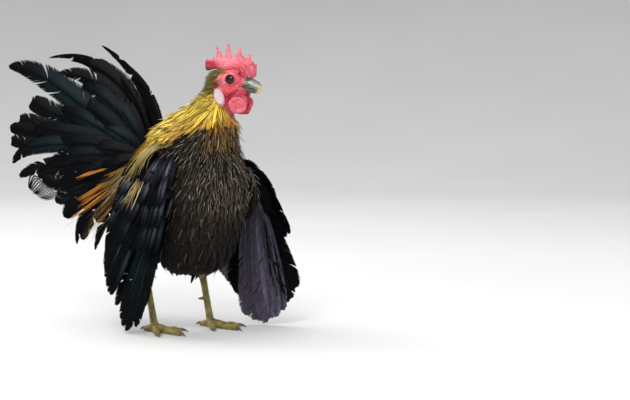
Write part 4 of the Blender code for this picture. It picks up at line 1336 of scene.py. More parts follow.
def grain(tree, scale, detail=3.0, place=None):
    """Soft noise of a scale, per metre."""
    inputs = {"Vector": place or object_place(tree), "Scale": scale, "Detail": detail}
    return node(tree, "ShaderNodeTexNoise", inputs).outputs[0]


def group_node(tree, name, make, inputs):
    """The outputs of a node of a group, which is made when it is first wanted."""
    group = bpy.data.node_groups.get(name) or make(name)
    return node(tree, "ShaderNodeGroup", inputs, node_tree=group).outputs


def new_group(name, inputs, outputs):
    """A node group with named sockets, as (kind, name) pairs."""
    group = bpy.data.node_groups.new(name, "ShaderNodeTree")
    for kind, title in inputs:
        group.interface.new_socket(title, in_out="INPUT", socket_type="NodeSocket" + kind)
    for kind, title in outputs:
        group.interface.new_socket(title, in_out="OUTPUT", socket_type="NodeSocket" + kind)
    return group, group.nodes.new("NodeGroupInput"), group.nodes.new("NodeGroupOutput")


def vane_group(name):
    """Colour and fine barbs of a vane, from the feather's own colours and its place on the vane."""
    group, start, end = new_group(
        name, (("Float", "Barb Depth"), ("Float", "Mottle"), ("Float", "Shaft Width")),
        (("Color", "Color"), ("Vector", "Normal")),
    )
    shaft = node(group, "ShaderNodeVertexColor", layer_name="shaft").outputs
    vane = node(group, "ShaderNodeUVMap", uv_map="Vane").outputs[0]
    parts = node(group, "ShaderNodeSeparateXYZ", {0: vane}).outputs
    across = maths(group, "ABSOLUTE", parts[0])
    half_width = start.outputs["Shaft Width"]
    lane = span(group, across, maths(group, "MULTIPLY", half_width, 0.4), half_width, 1.0, 0.0)
    streak = maths(group, "MULTIPLY", lane, shaft["Alpha"])
    colour = blend(group, streak, painted_colour(group, "tint"), shaft["Color"])
    light = span(group, grain(group, 900, 4.0), 0.3, 0.7, 0.72, 1.3)
    shade = blend(group, start.outputs["Mottle"], (1, 1, 1), grey(group, light))
    slant = maths(group, "SUBTRACT", parts[1], across)
    ridges = maths(group, "SINE", maths(group, "MULTIPLY", slant, 1050.0))
    height = maths(group, "MULTIPLY", ridges, start.outputs["Barb Depth"])
    colour = blend(group, 1.0, colour, shade, "MULTIPLY")
    wire(group, end, Color=colour, Normal=bump(group, height, 0.6, 0.0002))
    return group


GLOSS = {"Roughness": 0.5, "Specular_IOR_Level": 0.0, "Coat_Weight": 0.05, "Coat_Roughness": 0.25}


def feather_material(name, depth, mottle, shaft_width=0.3, **values):
    """Feathers, with barbs of a depth, light and dark patches, and a shaft streak of half a width in mm."""
    material, tree, shader = new_material(name, **values)
    inputs = {"Barb Depth": depth, "Mottle": mottle, "Shaft Width": shaft_width * VANE_SCALE}
    made = group_node(tree, "Feather vane", vane_group, inputs)
    wire(tree, shader, Base_Color=made["Color"], Normal=made["Normal"])
    return material


def flesh_group(name):
    """Pebbled flesh: a deep and a pale colour, in grains and in blotches."""
    group, start, end = new_group(
        name, (("Color", "Deep"), ("Color", "Pale"), ("Float", "Paleness"), ("Float", "Grain Scale")),
        (("Color", "Color"), ("Float", "Roughness"), ("Vector", "Normal")),
    )
    place = object_place(group)
    inputs = {"Vector": place, "Scale": start.outputs["Grain Scale"]}
    cells = node(group, "ShaderNodeTexVoronoi", inputs, feature="SMOOTH_F1").outputs[0]
    fine = grain(group, 1600, 3.0, place)
    grains = span(group, cells, 0.1, 0.65, 1.0, 0.0)
    pale = maths(group, "MULTIPLY", grains, span(group, grain(group, 260, 3.0, place), 0.3, 0.7, 0.35, 1.0))
    pale = maths(group, "MULTIPLY", pale, start.outputs["Paleness"])
    height = maths(group, "ADD", grains, maths(group, "MULTIPLY", fine, 0.5))
    wire(
        group, end, Color=blend(group, pale, start.outputs["Deep"], start.outputs["Pale"]),
        Roughness=span(group, fine, 0.3, 0.7, 0.3, 0.5), Normal=bump(group, height, 0.55, 0.0004),
    )
    return group


def flesh_material(name, pale, scale):
    """Bare flesh: the deep colour and the paleness are painted on the mesh."""
    material, tree, shader = new_material(
        name, Subsurface_Weight=0.15, Subsurface_Scale=0.0012, Coat_Weight=0.1, Coat_Roughness=0.35,
    )
    inputs = {
        "Deep": painted_colour(tree, "tint"), "Paleness": painted_colour(tree, "flush"),
        "Pale": (*pale, 1), "Grain Scale": scale,
    }
    made = group_node(tree, "Pebbled flesh", flesh_group, inputs)
    wire(tree, shader, Base_Color=made["Color"], Roughness=made["Roughness"], Normal=made["Normal"])
    return material


def painted(obj, tint, flush=0.0):
    """Store the deep colour of flesh or horn for each point, and how much its pale grains show there."""
    count = len(obj.data.vertices)
    colour_points(obj, "tint", np.broadcast_to(tint, (count, 3)))
    colour_points(obj, "flush", np.broadcast_to(np.reshape(flush, (-1, 1)), (count, 3)))
    return obj


def horn_material(name):
    """Bill horn, painted on the mesh, with fine growth lines."""
    material, tree, shader = new_material(name, Coat_Weight=0.2, Coat_Roughness=0.2)
    lines = grain(tree, 700.0, 4.0)
    shade = grey(tree, span(tree, lines, 0.35, 0.65, 0.8, 1.15))
    wire(
        tree, shader, Base_Color=blend(tree, 1.0, painted_colour(tree, "tint"), shade, "MULTIPLY"),
        Roughness=span(tree, lines, 0.3, 0.7, 0.25, 0.45), Normal=bump(tree, lines, 0.25, 0.0003),
    )
    return material


def eye_material(name, side, iris, pupil, rim):
    """A wet eye: a pupil in a brown iris, and a dark rim."""
    material, tree, shader = new_material(
        name, Roughness=0.25, Specular_IOR_Level=0.1, Coat_Weight=0.6, Coat_Roughness=0.02,
    )
    inputs = {
        "Vector": object_place(tree), "Location": world(eye_spot(side)),
        "Rotation": (0, 0, HEAD_TURN), "Scale": (MM, MM, MM),
    }
    place = node(tree, "ShaderNodeMapping", inputs, vector_type="TEXTURE").outputs[0]
    parts = node(tree, "ShaderNodeSeparateXYZ", {0: place}).outputs
    flat = node(tree, "ShaderNodeCombineXYZ", {0: 0.0, 1: parts[1], 2: parts[2]}).outputs[0]
    reach = node(tree, "ShaderNodeVectorMath", {0: flat}, operation="LENGTH").outputs["Value"]
    brown = blend(tree, span(tree, grain(tree, 1.6, 4.0, place), 0.35, 0.65), iris, iris * 2.2)
    colour = blend(tree, span(tree, reach, 2.2, 2.6), pupil, brown)
    wire(tree, shader, Base_Color=blend(tree, span(tree, reach, 3.3, 3.7), colour, rim))
    return material


def leg_material(name, base, dark, pale_patch):
    """Scaled leg skin: small plates with dark seams and paler crowns."""
    material, tree, shader = new_material(name, Coat_Weight=0.08, Coat_Roughness=0.4)
    place = object_place(tree)
    inputs = {"Vector": place, "Scale": 620.0}
    edge = node(tree, "ShaderNodeTexVoronoi", inputs, feature="DISTANCE_TO_EDGE").outputs[0]
    blotch = grain(tree, 180, 4.0, place)
    crown, seam = span(tree, edge, 0.15, 0.45), span(tree, edge, 0.02, 0.16, 1.0, 0.0)
    colour = blend(tree, span(tree, blotch, 0.35, 0.65), base, dark)
    colour = blend(tree, maths(tree, "MULTIPLY", crown, 0.5), colour, pale_patch)
    wire(
        tree, shader, Base_Color=blend(tree, maths(tree, "MULTIPLY", seam, 0.6), colour, dark),
        Roughness=span(tree, blotch, 0.3, 0.7, 0.4, 0.6),
        Normal=bump(tree, span(tree, edge, 0.0, 0.25), 0.5, 0.0004),
    )
    return material


def claw_material(name, dark, pale_patch):
    """Dark claws with fine growth lines and worn patches."""
    material, tree, shader = new_material(name, Coat_Weight=0.2, Coat_Roughness=0.25)
    lines = grain(tree, 1300, 3.0)
    wire(
        tree, shader, Base_Color=blend(tree, span(tree, lines, 0.4, 0.75), dark, pale_patch),
        Roughness=span(tree, lines, 0.3, 0.7, 0.3, 0.5), Normal=bump(tree, lines, 0.2, 0.0003),
    )
    return material


def colour_prop(name, description, default):
    return FloatVectorProperty(name=name, description=description, default=default, subtype="COLOR",
                               size=3, min=0.0, max=1.0)


def length_prop(name, description, default):
    return FloatProperty(name=name, description=description, default=default, subtype="DISTANCE",
                         unit="LENGTH", min=0.0)


class SeramaSizes(bpy.types.PropertyGroup):
    """Sizes of the coat and of the stage."""

    coat_depth: length_prop("Coat depth", "How far the skin lies under the feathers' outline", 0.004)
    barb_step: length_prop("Barb step", "Distance between the barbs of wing and tail feathers", 0.0014)
    floor_reach: length_prop("Floor reach", "Half the width of the floor", 6.0)
    camera_distance: length_prop("Camera distance", "From the camera to the bird", 1.339)


class SeramaColours(bpy.types.PropertyGroup):
    """Colours of skin, horn and feathers."""

    face: colour_prop("Face", "Bare skin of face, comb and wattles", (0.62, 0.034, 0.060))
    rose: colour_prop("Rose", "Bare skin behind and below the eye", (0.52, 0.10, 0.105))
    crimson: colour_prop("Crimson", "Deep folds of comb and wattles", (0.44, 0.007, 0.032))
    flush: colour_prop("Flush", "Pale grains of comb and wattles", (0.88, 0.36, 0.44))
    lid: colour_prop("Lid", "Pale corner behind the eye", (0.62, 0.46, 0.50))
    lid_edge: colour_prop("Lid edge", "Dark edge of the lids", (0.035, 0.012, 0.012))
    lobe: colour_prop("Ear lobe", "Enamel white of the ear lobes", (0.78, 0.69, 0.71))
    iris: colour_prop("Iris", "Brown of the eye", (0.022, 0.009, 0.004))
    horn: colour_prop("Horn", "Sides of the bill", (0.20, 0.25, 0.19))
    horn_tip: colour_prop("Horn tip", "Tip of the bill", (0.60, 0.54, 0.24))
    # Pale horn: a painted highlight along the upper bill's shoulder, and the paler underside of the lower
    # bill
    horn_pale: colour_prop("Pale horn", "Shoulders of the upper bill", (0.62, 0.57, 0.46))
    horn_gold: colour_prop("Gold horn", "Tip of the lower bill", (0.60, 0.36, 0.12))
    # Dark horn of the ridge and lower bill, and painted shade in the nostrils, at the gape and inside the
    # mouth
    horn_dark: colour_prop("Dark horn", "Ridge, nostrils and mouth of the bill", (0.030, 0.027, 0.036))
    straw: colour_prop("Straw", "Hackles at the sides and back", (0.86, 0.61, 0.07))
    gold: colour_prop("Gold", "Hackles towards the throat", (0.55, 0.23, 0.014))
    nape: colour_prop("Nape", "Short feathers behind the comb", (0.15, 0.12, 0.014))
    pale: colour_prop("Pale straw", "Loose hackles over the wing", (0.46, 0.42, 0.17))
    shaft: colour_prop("Hackle shaft", "Dark streak of each hackle", (0.10, 0.06, 0.008))
    black: colour_prop("Body black", "Feathers of breast and belly", (0.0068, 0.0055, 0.0050))
    brown: colour_prop("Body brown", "Warm patch of the breast", (0.020, 0.014, 0.011))
    buff: colour_prop("Buff", "Streaks of the breast feathers", (0.44, 0.37, 0.25))
    plume: colour_prop("Plume black", "Feathers of wings and tail", (0.0034, 0.0037, 0.0045))
    # Painted sheen: a teal highlight colour painted into the vanes of the glossiest plumes, not their own
    # colour
    sheen: colour_prop("Sheen", "Green and blue of the glossiest plumes", (0.009, 0.026, 0.032))
    slate: colour_prop("Slate", "Inner face of the let-down wing", (0.058, 0.051, 0.073))
    rust: colour_prop("Rust", "Orange streaks beside the tail", (0.42, 0.14, 0.012))
    leg: colour_prop("Leg", "Scales of shanks and toes", (0.42, 0.31, 0.06))
    leg_shade: colour_prop("Leg shade", "Seams between the scales", (0.13, 0.11, 0.035))
    claw: colour_prop("Claw", "Claws", (0.05, 0.04, 0.03))
    floor: colour_prop("Floor", "Plain pale floor", (0.72, 0.72, 0.71))


def colours(context):
    """The colours by name, as arrays."""
    group = context.scene.serama_colours
    return {name: np.array(tuple(getattr(group, name))) for name in SeramaColours.__annotations__}


def quill_look(look, sizes, **more):
    """The look of a feather of a wing or the tail, with what differs from the common one."""
    made = dict.fromkeys(("tint", "edge", "quill"), look["plume"])
    return {**made, "step": sizes.barb_step / MM, **more}


class Serama:
    """What every operator of this add-on shares."""

    bl_options = {"REGISTER", "UNDO"}


class SERAMA_OT_skin(Serama, bpy.types.Operator):
    """Make one skin for the trunk, neck, head, tail root, thighs and wing arms"""

    bl_idname = "serama.skin"
    bl_label = "Skin"

    def execute(self, context):
        skin = make_skin(context.scene.serama_sizes)
        look = colours(context)
        places = places_of(skin)
        bare = bareness(places)
        along, left, up = head_parts(places)
        throat = smooth(-20, -30, up)
        rosy = smooth(2, -8, along) * smooth(-16, -6, up)
        reach = np.hypot(along - EYE[0], up - EYE[2])
        near_eye = smooth(6, 8, np.abs(left))
        upper_rear = smooth(-2, 3, (up - EYE[2]) - (along - EYE[0]))
        ear = np.exp(-((along + 5.3) / 1.9) ** 2 - ((up - 0.1) / 1.2) ** 2)
        # Painted shade along the crease at the corner of the mouth
        gape = np.exp(-((up + 3.9) / 0.7) ** 2) * smooth(9.5, 11.5, along)
        red = mixed(
            look["face"], look["face"] * (0.42, 0.3, 0.3), throat,
            look["rose"], rosy * 0.7,
            look["lid"], smooth(7, 5.8, reach) * smooth(4.6, 5.2, reach) * near_eye * upper_rear * 0.45,
            look["lid_edge"], smooth(4.3, 3.9, reach) * near_eye,
            look["crimson"] * 0.3, ear,
            look["horn_dark"], gape * 0.9,
        )
        fore = smooth(7, 10, along) * smooth(-8, -3, up)
        flush = bare * (1 - throat * 0.7) * (0.34 + 0.25 * rosy + 0.15 * fore) * smooth(4.2, 5.5, reach)
        painted(skin, mixed(coat_marks(places, look)[0] * 0.8, red, bare), flush)
        material = flesh_material("Bare skin", look["flush"], 850.0)
        placed(skin, material, "bare_skin", "head", "neck", "torso", "thigh_left", "thigh_right")
        return {"FINISHED"}


class SERAMA_OT_head_flesh(Serama, bpy.types.Operator):
    """Make the comb, the wattles and the ear lobes"""

    bl_idname = "serama.head_flesh"
    bl_label = "Comb, wattles and lobes"

    def execute(self, context):
        look = colours(context)
        comb = self.paint_comb(make_comb(), look)
        placed(comb, flesh_material("Comb flesh", look["flush"], 620.0), "bare_skin", "comb")
        enamel = flesh_material("Lobe enamel", look["lobe"], 900.0)
        wattle = flesh_material("Wattle flesh", look["flush"], 560.0)
        for side, word in SIDES.items():
            placed(self.paint_wattle(make_wattle(side), side, look), wattle, "bare_skin", "wattle_" + word)
            placed(self.paint_lobe(make_lobe(side), side, look), enamel, "ear_lobe", "earlobe_" + word)
        return {"FINISHED"}

    def paint_comb(self, comb, look):
        """Deep red at the rear and below, a painted highlight in the middle, and pale towards the points."""
        along, left, up = head_parts(places_of(comb))
        rear = smooth(-7, -15, along) * smooth(20.5, 16.5, up)
        under = smooth(11.5, 8.5, up - 0.25 * np.abs(along + 4)) * 0.6
        # Painted highlight: a pale pink pool on the middle of the blade, which also pales its grains
        middle = np.exp(-((along + 1) / 10) ** 2 - ((up - 18) / 5) ** 2)
        lower_rear = smooth(-12, -19, along) * smooth(13.5, 10.5, up)
        ends = smooth(27, 32, up) * 0.35 + smooth(-19, -22, along) * 0.5
        tint = mixed(
            look["face"] * 1.1, look["flush"], 0.12 + 0.3 * middle + 0.15 * smooth(20, 27, up),
            look["crimson"], np.clip(rear + under, 0, 1),
            look["crimson"] * 0.12, lower_rear * 0.9,
            look["lid_edge"], ends,
        )
        flush = 0.5 + 0.75 * middle + 0.45 * smooth(17, 24, up) - 0.75 * rear
        return painted(comb, tint, np.clip(flush, 0, 1) * (1 - ends))

    def paint_wattle(self, wattle, side, look):
        """A pale pebbled disc with a paler rim, under a deep red fold."""
        (along_mid, out, up_mid), sizes = WATTLES[side]
        along, left, up = head_parts(places_of(wattle))
        reach = np.hypot((along - along_mid) / sizes[0], (up - up_mid + 2.0) / (sizes[1] * 0.8))
        disc = smooth(1.0, 0.8, reach) * smooth(up_mid + 7.5, up_mid + 5, up)
        rim = np.exp(-((reach - 0.86) / 0.1) ** 2) * disc
        if side > 0:
            disc = disc * 0.3
        rosy = mixed(look["face"], look["flush"], 0.1 * disc + 0.3 * rim)
        tint = mixed(look["crimson"], rosy, disc)
        return painted(wattle, tint, np.clip(0.1 + 0.45 * disc + 0.3 * rim, 0, 1))

    def paint_lobe(self, lobe, side, look):
        """Enamel white, with a red rim behind and below."""
        along_mid, out, up_mid = EAR_LOBES[side]
        along, left, up = head_parts(places_of(lobe))
        lean, across = up - up_mid, along - along_mid
        length = lean * math.cos(LOBE_LEAN) - across * math.sin(LOBE_LEAN)
        width = lean * math.sin(LOBE_LEAN) + across * math.cos(LOBE_LEAN)
        rim = smooth(0.66, 0.92, np.hypot(width / LOBE_SIZE[0], length / LOBE_SIZE[1]))
        tint = mixed(look["lobe"] * 0.72, mixed(look["rose"], look["flush"], 0.35), rim)
        return painted(lobe, tint, 0.9 * (1 - rim))


class SERAMA_OT_eyes(Serama, bpy.types.Operator):
    """Make the eyes"""

    bl_idname = "serama.eyes"
    bl_label = "Eyes"

    def execute(self, context):
        iris = colours(context)["iris"]
        for side, word in SIDES.items():
            material = eye_material("Eye " + word, side, iris, (0.002, 0.002, 0.002), (0.006, 0.004, 0.004))
            placed(eyeball("eye_" + word, side, EYE_RADIUS, 5), material, "eye", "eye_" + word)
        return {"FINISHED"}


class SERAMA_OT_bill(Serama, bpy.types.Operator):
    """Make the two halves of the bill"""

    bl_idname = "serama.bill"
    bl_label = "Bill"

    def execute(self, context):
        look = colours(context)
        horn = horn_material("Bill horn")
        placed(self.paint_upper(make_upper_bill(), look), horn, "horn", "beak_upper")
        placed(self.paint_lower(make_lower_bill(), look), horn, "horn", "beak_lower")
        # A dark form that paints the shade inside the mouth between the halves of the bill
        tongue = wrapped("tongue", head_tube(MOUTH_SHADE), 24, 32)
        placed(painted(tongue, look["horn_dark"]), horn, "horn")
        return {"FINISHED"}

    def paint_upper(self, bill, look):
        """Grey-green sides with a painted highlight along the shoulder, a dark ridge, painted shade in the
        nostrils and along the gape, and a yellow-green tip.
        """
        along, left, up = head_parts(places_of(bill))
        stations, middles, wide, high = np.transpose(UPPER_BILL)
        top = np.interp(along, stations, middles + high)
        # Painted highlight along the shoulder of the upper bill
        shoulder_highlight = np.exp(-((up + 0.9 + 0.42 * (along - 19.5)) / 0.9) ** 2) * smooth(17.5, 19.5, along)
        ridge = mixed(look["horn_dark"] * 2.2, look["slate"] * 2.2, smooth(18, 22, along))
        # Painted shade in the nostrils and in the gape's crease
        nostril = np.exp(-((along - 18) / 2.2) ** 2 - ((up - 1.7) / 1.0) ** 2)
        gape = smooth(13, 14.5, along) * smooth(21, 18.5, along) * np.exp(-((up + 3.1) / 0.8) ** 2)
        return painted(bill, mixed(
            look["horn"], look["horn_tip"], smooth(24.5, 29, along),
            look["horn_pale"], shoulder_highlight * smooth(29, 25, along) * 0.85,
            ridge, smooth(1.7, 0.9, top - up) * smooth(31, 28, along),
            look["horn_dark"], np.clip(nostril * 1.3 + gape * 1.1, 0, 1),
            look["rose"], smooth(16.2, 14.6, along) * smooth(-3, -1.8, up),
        ))

    def paint_lower(self, bill, look):
        """Dark, with a gold tip."""
        along, left, up = head_parts(places_of(bill))
        return painted(bill, mixed(
            look["horn_dark"], look["horn_gold"], smooth(23.5, 26, along),
            look["horn_pale"] * 0.5, smooth(-8.2, -9.0, up) * smooth(24, 20, along) * 0.5,
        ))


class SERAMA_OT_coat(Serama, bpy.types.Operator):
    """Lay the small feathers of head, neck, breast, belly, back and thighs on the skin"""

    bl_idname = "serama.coat"
    bl_label = "Coat"

    def execute(self, context):
        look = colours(context)
        hide = Hide(bpy.data.objects["skin"])
        silk = feather_material("Hackle silk", 0.6, 0.6, 0.55, Roughness=0.45, Specular_IOR_Level=0.3)
        soft = feather_material("Soft plumage", 0.8, 0.9, 0.24, Roughness=0.6, Specular_IOR_Level=0.1)
        glossy = feather_material("Glossy coverts", 0.7, 0.7, **GLOSS)
        chance = np.random.RandomState(7)
        rows = (
            ("hackles", silk, "hackle", LANCE, ()),
            ("breast_feathers", soft, "body_plumage", CONTOUR, ("hairs", "wisps")),
            ("back_feathers", soft, "body_plumage", CONTOUR, ("hairs", "wisps")),
            ("thigh_feathers", soft, "body_plumage", CONTOUR, ("hairs",)),
            ("shoulder_coverts", glossy, "flight_plumage", ROUND, ()),
        )
        for name, material, slot_name, form, extras in rows:
            def wanted(places):
                return coat_piece(places) == name

            def pale(places):
                return wanted(places) & wispy(places)

            plumes = Plumage()
            coat_feathers(hide, chance, look, wanted, plumes, form)
            if "hairs" in extras:
                stray_hairs(hide, chance, wanted, plumes, 3.4, 11, 2.6, look["black"] * 1.4, 0.22)
                stray_hairs(hide, chance, wanted, plumes, 8, 12, 2.4, look["buff"] * 0.35, 0.3)
            if "wisps" in extras:
                stray_hairs(hide, chance, pale, plumes, 3.1, 8.5, 1.7, look["buff"] * 0.9, 0.25)
            if name == "hackles":
                ear_tufts(hide, chance, plumes, look)
            plumes.piece(name, material, slot_name)
        return {"FINISHED"}


class SERAMA_OT_wings(Serama, bpy.types.Operator):
    """Make the quills and coverts of the let-down wings"""

    bl_idname = "serama.wings"
    bl_label = "Wings"

    def execute(self, context):
        look, sizes = colours(context), context.scene.serama_sizes
        near = feather_material("Wing plumes", 0.5, 0.6, **GLOSS)
        far = feather_material("Slate plumes", 0.5, 0.7, **GLOSS)
        for side, rows, material in ((-1, RIGHT_ROWS, near), (1, LEFT_ROWS, far)):
            chance = np.random.RandomState(20 + side)
            plumes = Plumage()
            for number, row in enumerate(rows):
                mine = quill_look(look, sizes, row=number, splits=2, parting=0.1)
                if side > 0 and number < 2:
                    mine.update(start=look["plume"], end=look["slate"], cup=0.4, splits=3, toward_tip=1.7)
                elif side < 0:
                    # On the near wing, a painted blue-grey highlight, stronger in the upper rows
                    mine["gloss"] = mixed(look["sheen"], look["slate"], 0.15 * number) * (1 + 0.4 * number)
                feather_row(plumes, chance, side, row, mine)
            word = SIDES[side]
            plumes.piece("wing_feathers_" + word, material, "flight_plumage", "wing_" + word)
        return {"FINISHED"}


class SERAMA_OT_tail(Serama, bpy.types.Operator):
    """Make the main tail feathers, sickles and coverts of both halves of the tail"""

    bl_idname = "serama.tail"
    bl_label = "Tail"

    def execute(self, context):
        look, sizes = colours(context), context.scene.serama_sizes
        material = feather_material("Tail plumes", 0.5, 0.5, **GLOSS)
        for side, word in SIDES.items():
            chance = np.random.RandomState(40 + side)
            plumes = Plumage()
            for number, (*turns, half, lift, form, extra) in enumerate(TAIL_ROWS):
                if side > 0:
                    turns = [(back, up * FAR_RISE) for back, up in turns]
                    if number in FAR_GAPS:
                        continue
                line, off = fan_line(side, turns, lift)
                mine = quill_look(look, sizes, **extra)
                mine["bake"] = np.array((0.4 + 0.1 * (side > 0), 0.85 + 0.004 * number))
                # A random share of the painted teal highlight for each tail feather, mostly small
                mine["sheen"] = look["sheen"] * chance.uniform(0, 1) ** 3
                along = unit(line[-1] - line[0])
                widths = (extra.get("lower", half * 0.85), half)[::-side]
                barbed_feather(plumes, chance, line, turned(off, along, side * 7), widths, form, mine)
            for *points, half in LONG_SICKLES[side]:
                line = [beside(side, *point) for point in (SICKLE_ROOT, *points)]
                mine = quill_look(look, sizes, splits=3, parting=0.15)
                face = unit(spot(-1, 0.2 if side < 0 else 0.9, 0.2))
                barbed_feather(plumes, chance, line, face, (half, half * 0.85), SICKLE, mine)
            plumes.piece("tail_feathers_" + word, material, "flight_plumage", "tail_" + word)
        return {"FINISHED"}


class SERAMA_OT_saddle(Serama, bpy.types.Operator):
    """Hang the long hackles of the mantle and saddle"""

    bl_idname = "serama.saddle"
    bl_label = "Saddle hackles"

    def execute(self, context):
        look = colours(context)
        chance = np.random.RandomState(77)
        plumes = Plumage()
        for side in SIDES:
            for count, roots, bends, tips, half, (tint, other), strength, scatter, ahead in SPRAYS:
                t = np.sort(chance.uniform(0, 1, count))[:, None]
                root, bend, tip = [
                    arc([beside(side, *point) for point in points], t) for points in (roots, bends, tips)
                ]
                root = root + chance.normal(0, scatter * 0.5, root.shape)
                bend = bend + chance.normal(0, scatter * 0.7, root.shape)
                tip = tip + chance.normal(0, scatter, root.shape)
                tip = bend + (tip - bend) * chance.uniform(0.55, 1.15, (count, 1))
                if side > 0:
                    root, bend, tip = [places + FORWARD * ahead for places in (root, bend, tip)]
                tip[:, 2] = np.maximum(tip[:, 2], TIP_FLOOR)
                colour = mixed(look[tint], look[other], chance.uniform(0, 1, count) ** 1.5)
                colour = colour * chance.uniform(0.5, 1.4, (count, 1))
                small_feathers(
                    plumes, root, bend, tip, unit(bend - spot(0, 10, 120)),
                    half * chance.uniform(0.7, 1.2, count), SPRAY, colour,
                    np.tile((*look["shaft"], strength), (count, 1)),
                )
            self.stripes(plumes, chance, side, look)
        plumes.piece("saddle_hackles", bpy.data.materials["Hackle silk"], "hackle")
        return {"FINISHED"}

    def stripes(self, plumes, chance, side, look):
        """Lay the orange feathers over the lower tail, each as a few blades side by side."""
        for first, second, end, half in TAIL_STRIPES:
            line, off = fan_line(side, (first, second, end), STRIPE_LIFT)
            start = chance.uniform(0.42, 0.62, (STRIPE_BLADES, 1))
            stop = np.minimum(start + chance.uniform(0.2, 0.5, (STRIPE_BLADES, 1)), 1)
            spread = chance.normal(0, 0.5, (STRIPE_BLADES, 3)) * half
            root, bend, tip = [arc(line, t) + spread for t in (start, (start + stop) / 2, stop)]
            tip = tip + chance.normal(0, 1.2, tip.shape)
            colour = look["rust"] * chance.uniform(0.4, 1.3, (STRIPE_BLADES, 1))
            small_feathers(
                plumes, root, bend, tip, np.tile(off, (STRIPE_BLADES, 1)),
                half * chance.uniform(0.2, 0.42, STRIPE_BLADES), STRIPE_FORM, colour,
                np.tile((*look["gold"], 0.4), (STRIPE_BLADES, 1)),
            )


class SERAMA_OT_legs(Serama, bpy.types.Operator):
    """Make the scaled shanks, the feet and the claws"""

    bl_idname = "serama.legs"
    bl_label = "Legs"

    def execute(self, context):
        look = colours(context)
        scales = leg_material("Leg scales", look["leg"], look["leg_shade"], (0.62, 0.48, 0.16))
        horn = claw_material("Claw horn", look["claw"], (0.28, 0.22, 0.12))
        for side, word in SIDES.items():
            placed(make_shank(side), scales, "leg_scales", "shank_" + word)
            placed(make_foot(side), scales, "leg_scales", "foot_" + word)
            claws = [f"claw_{word}_{number}" for number in range(1, len(TOES) + 1)]
            placed(make_claws(side), horn, "claw", *claws)
        return {"FINISHED"}


def soft_light(name, place, aim, size, power):
    """A square soft box that looks at a point."""
    light = bpy.data.lights.new(name, "AREA")
    light.size = size
    light.energy = power
    obj = bpy.data.objects.new(name, light)
    bpy.context.scene.collection.objects.link(obj)
    obj.location = place
    obj.rotation_euler = (aim - obj.location).to_track_quat("-Z", "Y").to_euler()


FLOOR_FLAT = 1.9  # metres from the bird to where the floor begins to rise into a backdrop
FLOOR_CURVE = 0.22
# Soft boxes: name, place and width in metres, power in watts. They look at a point of a height.
LIGHTS = (
    ("top light", (0.2, 0.6, 2.6), 3.0, 62),
    ("key light", (-1.15, -0.75, 1.25), 0.8, 19),
    ("fill light", (0.75, -1.35, 0.7), 0.9, 5),
    ("rim light", (-0.35, 1.2, 1.1), 0.7, 8),
)
LIGHT_AIM = 0.14
CAMERA_TURN = math.radians(-48)
CAMERA_RISE = math.radians(4)
AIM_HEIGHT = 0.1174
AIM_ASIDE = 0.1197


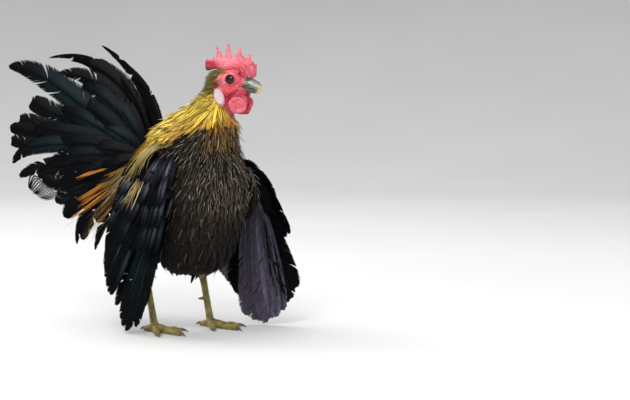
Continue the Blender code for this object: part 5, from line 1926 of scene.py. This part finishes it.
class SERAMA_OT_stage(Serama, bpy.types.Operator):
    """Set the floor, the soft lights and the camera at the photograph's angle"""

    bl_idname = "serama.stage"
    bl_label = "Stage"

    def execute(self, context):
        sizes = context.scene.serama_sizes
        bm = bmesh.new()
        bmesh.ops.create_grid(bm, x_segments=96, y_segments=96, size=sizes.floor_reach)
        for vert in bm.verts:
            past = max(vert.co.xy.length - FLOOR_FLAT, 0)
            vert.co.z = past * past * FLOOR_CURVE
        floor = finished("floor", bm)
        material, tree, shader = new_material("Pale floor", Roughness=0.85)
        pale = colours(context)["floor"]
        wire(tree, shader, Base_Color=blend(tree, span(tree, grain(tree, 3.0), 0.3, 0.7), pale, pale * 0.97))
        floor.data.materials.append(material)
        self.light(context)
        self.frame_photo(context, sizes.camera_distance)
        return {"FINISHED"}

    def light(self, context):
        sky = bpy.data.worlds.new("Studio")
        sky.use_nodes = True
        background = sky.node_tree.nodes["Background"]
        background.inputs["Color"].default_value = (0.80, 0.81, 0.83, 1)
        background.inputs["Strength"].default_value = 0.5
        context.scene.world = sky
        context.scene.view_settings.view_transform = "Standard"
        for name, place, size, power in LIGHTS:
            soft_light(name, place, Vector((0, 0, LIGHT_AIM)), size, power)

    def frame_photo(self, context, distance):
        lens = bpy.data.cameras.new("camera")
        lens.lens = 85
        lens.sensor_width = 36
        camera = bpy.data.objects.new("camera", lens)
        context.scene.collection.objects.link(camera)
        aside = Vector((math.cos(CAMERA_TURN), math.sin(CAMERA_TURN), 0))
        stand = Vector((SHIFT[0] * MM, SHIFT[1] * MM, AIM_HEIGHT)) + aside * AIM_ASIDE
        toward = Vector((
            math.sin(CAMERA_TURN) * math.cos(CAMERA_RISE),
            -math.cos(CAMERA_TURN) * math.cos(CAMERA_RISE),
            math.sin(CAMERA_RISE),
        ))
        camera.location = stand + toward * distance
        camera.rotation_euler = toward.to_track_quat("Z", "Y").to_euler()
        context.scene.camera = camera


OPERATORS = (
    SERAMA_OT_stage,
    SERAMA_OT_skin,
    SERAMA_OT_head_flesh,
    SERAMA_OT_eyes,
    SERAMA_OT_bill,
    SERAMA_OT_coat,
    SERAMA_OT_wings,
    SERAMA_OT_tail,
    SERAMA_OT_saddle,
    SERAMA_OT_legs,
)


class SERAMA_PT_panel(bpy.types.Panel):
    """The bird's pieces and colours"""

    bl_idname = "SERAMA_PT_panel"
    bl_label = "Serama Cock"
    bl_space_type = "VIEW_3D"
    bl_region_type = "UI"
    bl_category = "Serama"

    def draw(self, context):
        for group in (context.scene.serama_sizes, context.scene.serama_colours):
            box = self.layout.box()
            for name in type(group).__annotations__:
                box.prop(group, name)
        for operator in OPERATORS:
            self.layout.operator(operator.bl_idname)


CLASSES = (SeramaSizes, SeramaColours, *OPERATORS, SERAMA_PT_panel)


def register():
    for cls in CLASSES:
        bpy.utils.register_class(cls)
    bpy.types.Scene.serama_sizes = PointerProperty(type=SeramaSizes)
    bpy.types.Scene.serama_colours = PointerProperty(type=SeramaColours)


def unregister():
    del bpy.types.Scene.serama_colours
    del bpy.types.Scene.serama_sizes
    for cls in reversed(CLASSES):
        bpy.utils.unregister_class(cls)


def main():
    register()
    bpy.ops.serama.stage()
    bpy.ops.serama.skin()
    bpy.ops.serama.head_flesh()
    bpy.ops.serama.eyes()
    bpy.ops.serama.bill()
    bpy.ops.serama.coat()
    bpy.ops.serama.wings()
    bpy.ops.serama.tail()
    bpy.ops.serama.saddle()
    bpy.ops.serama.legs()


if __name__ == "__main__":
    main()
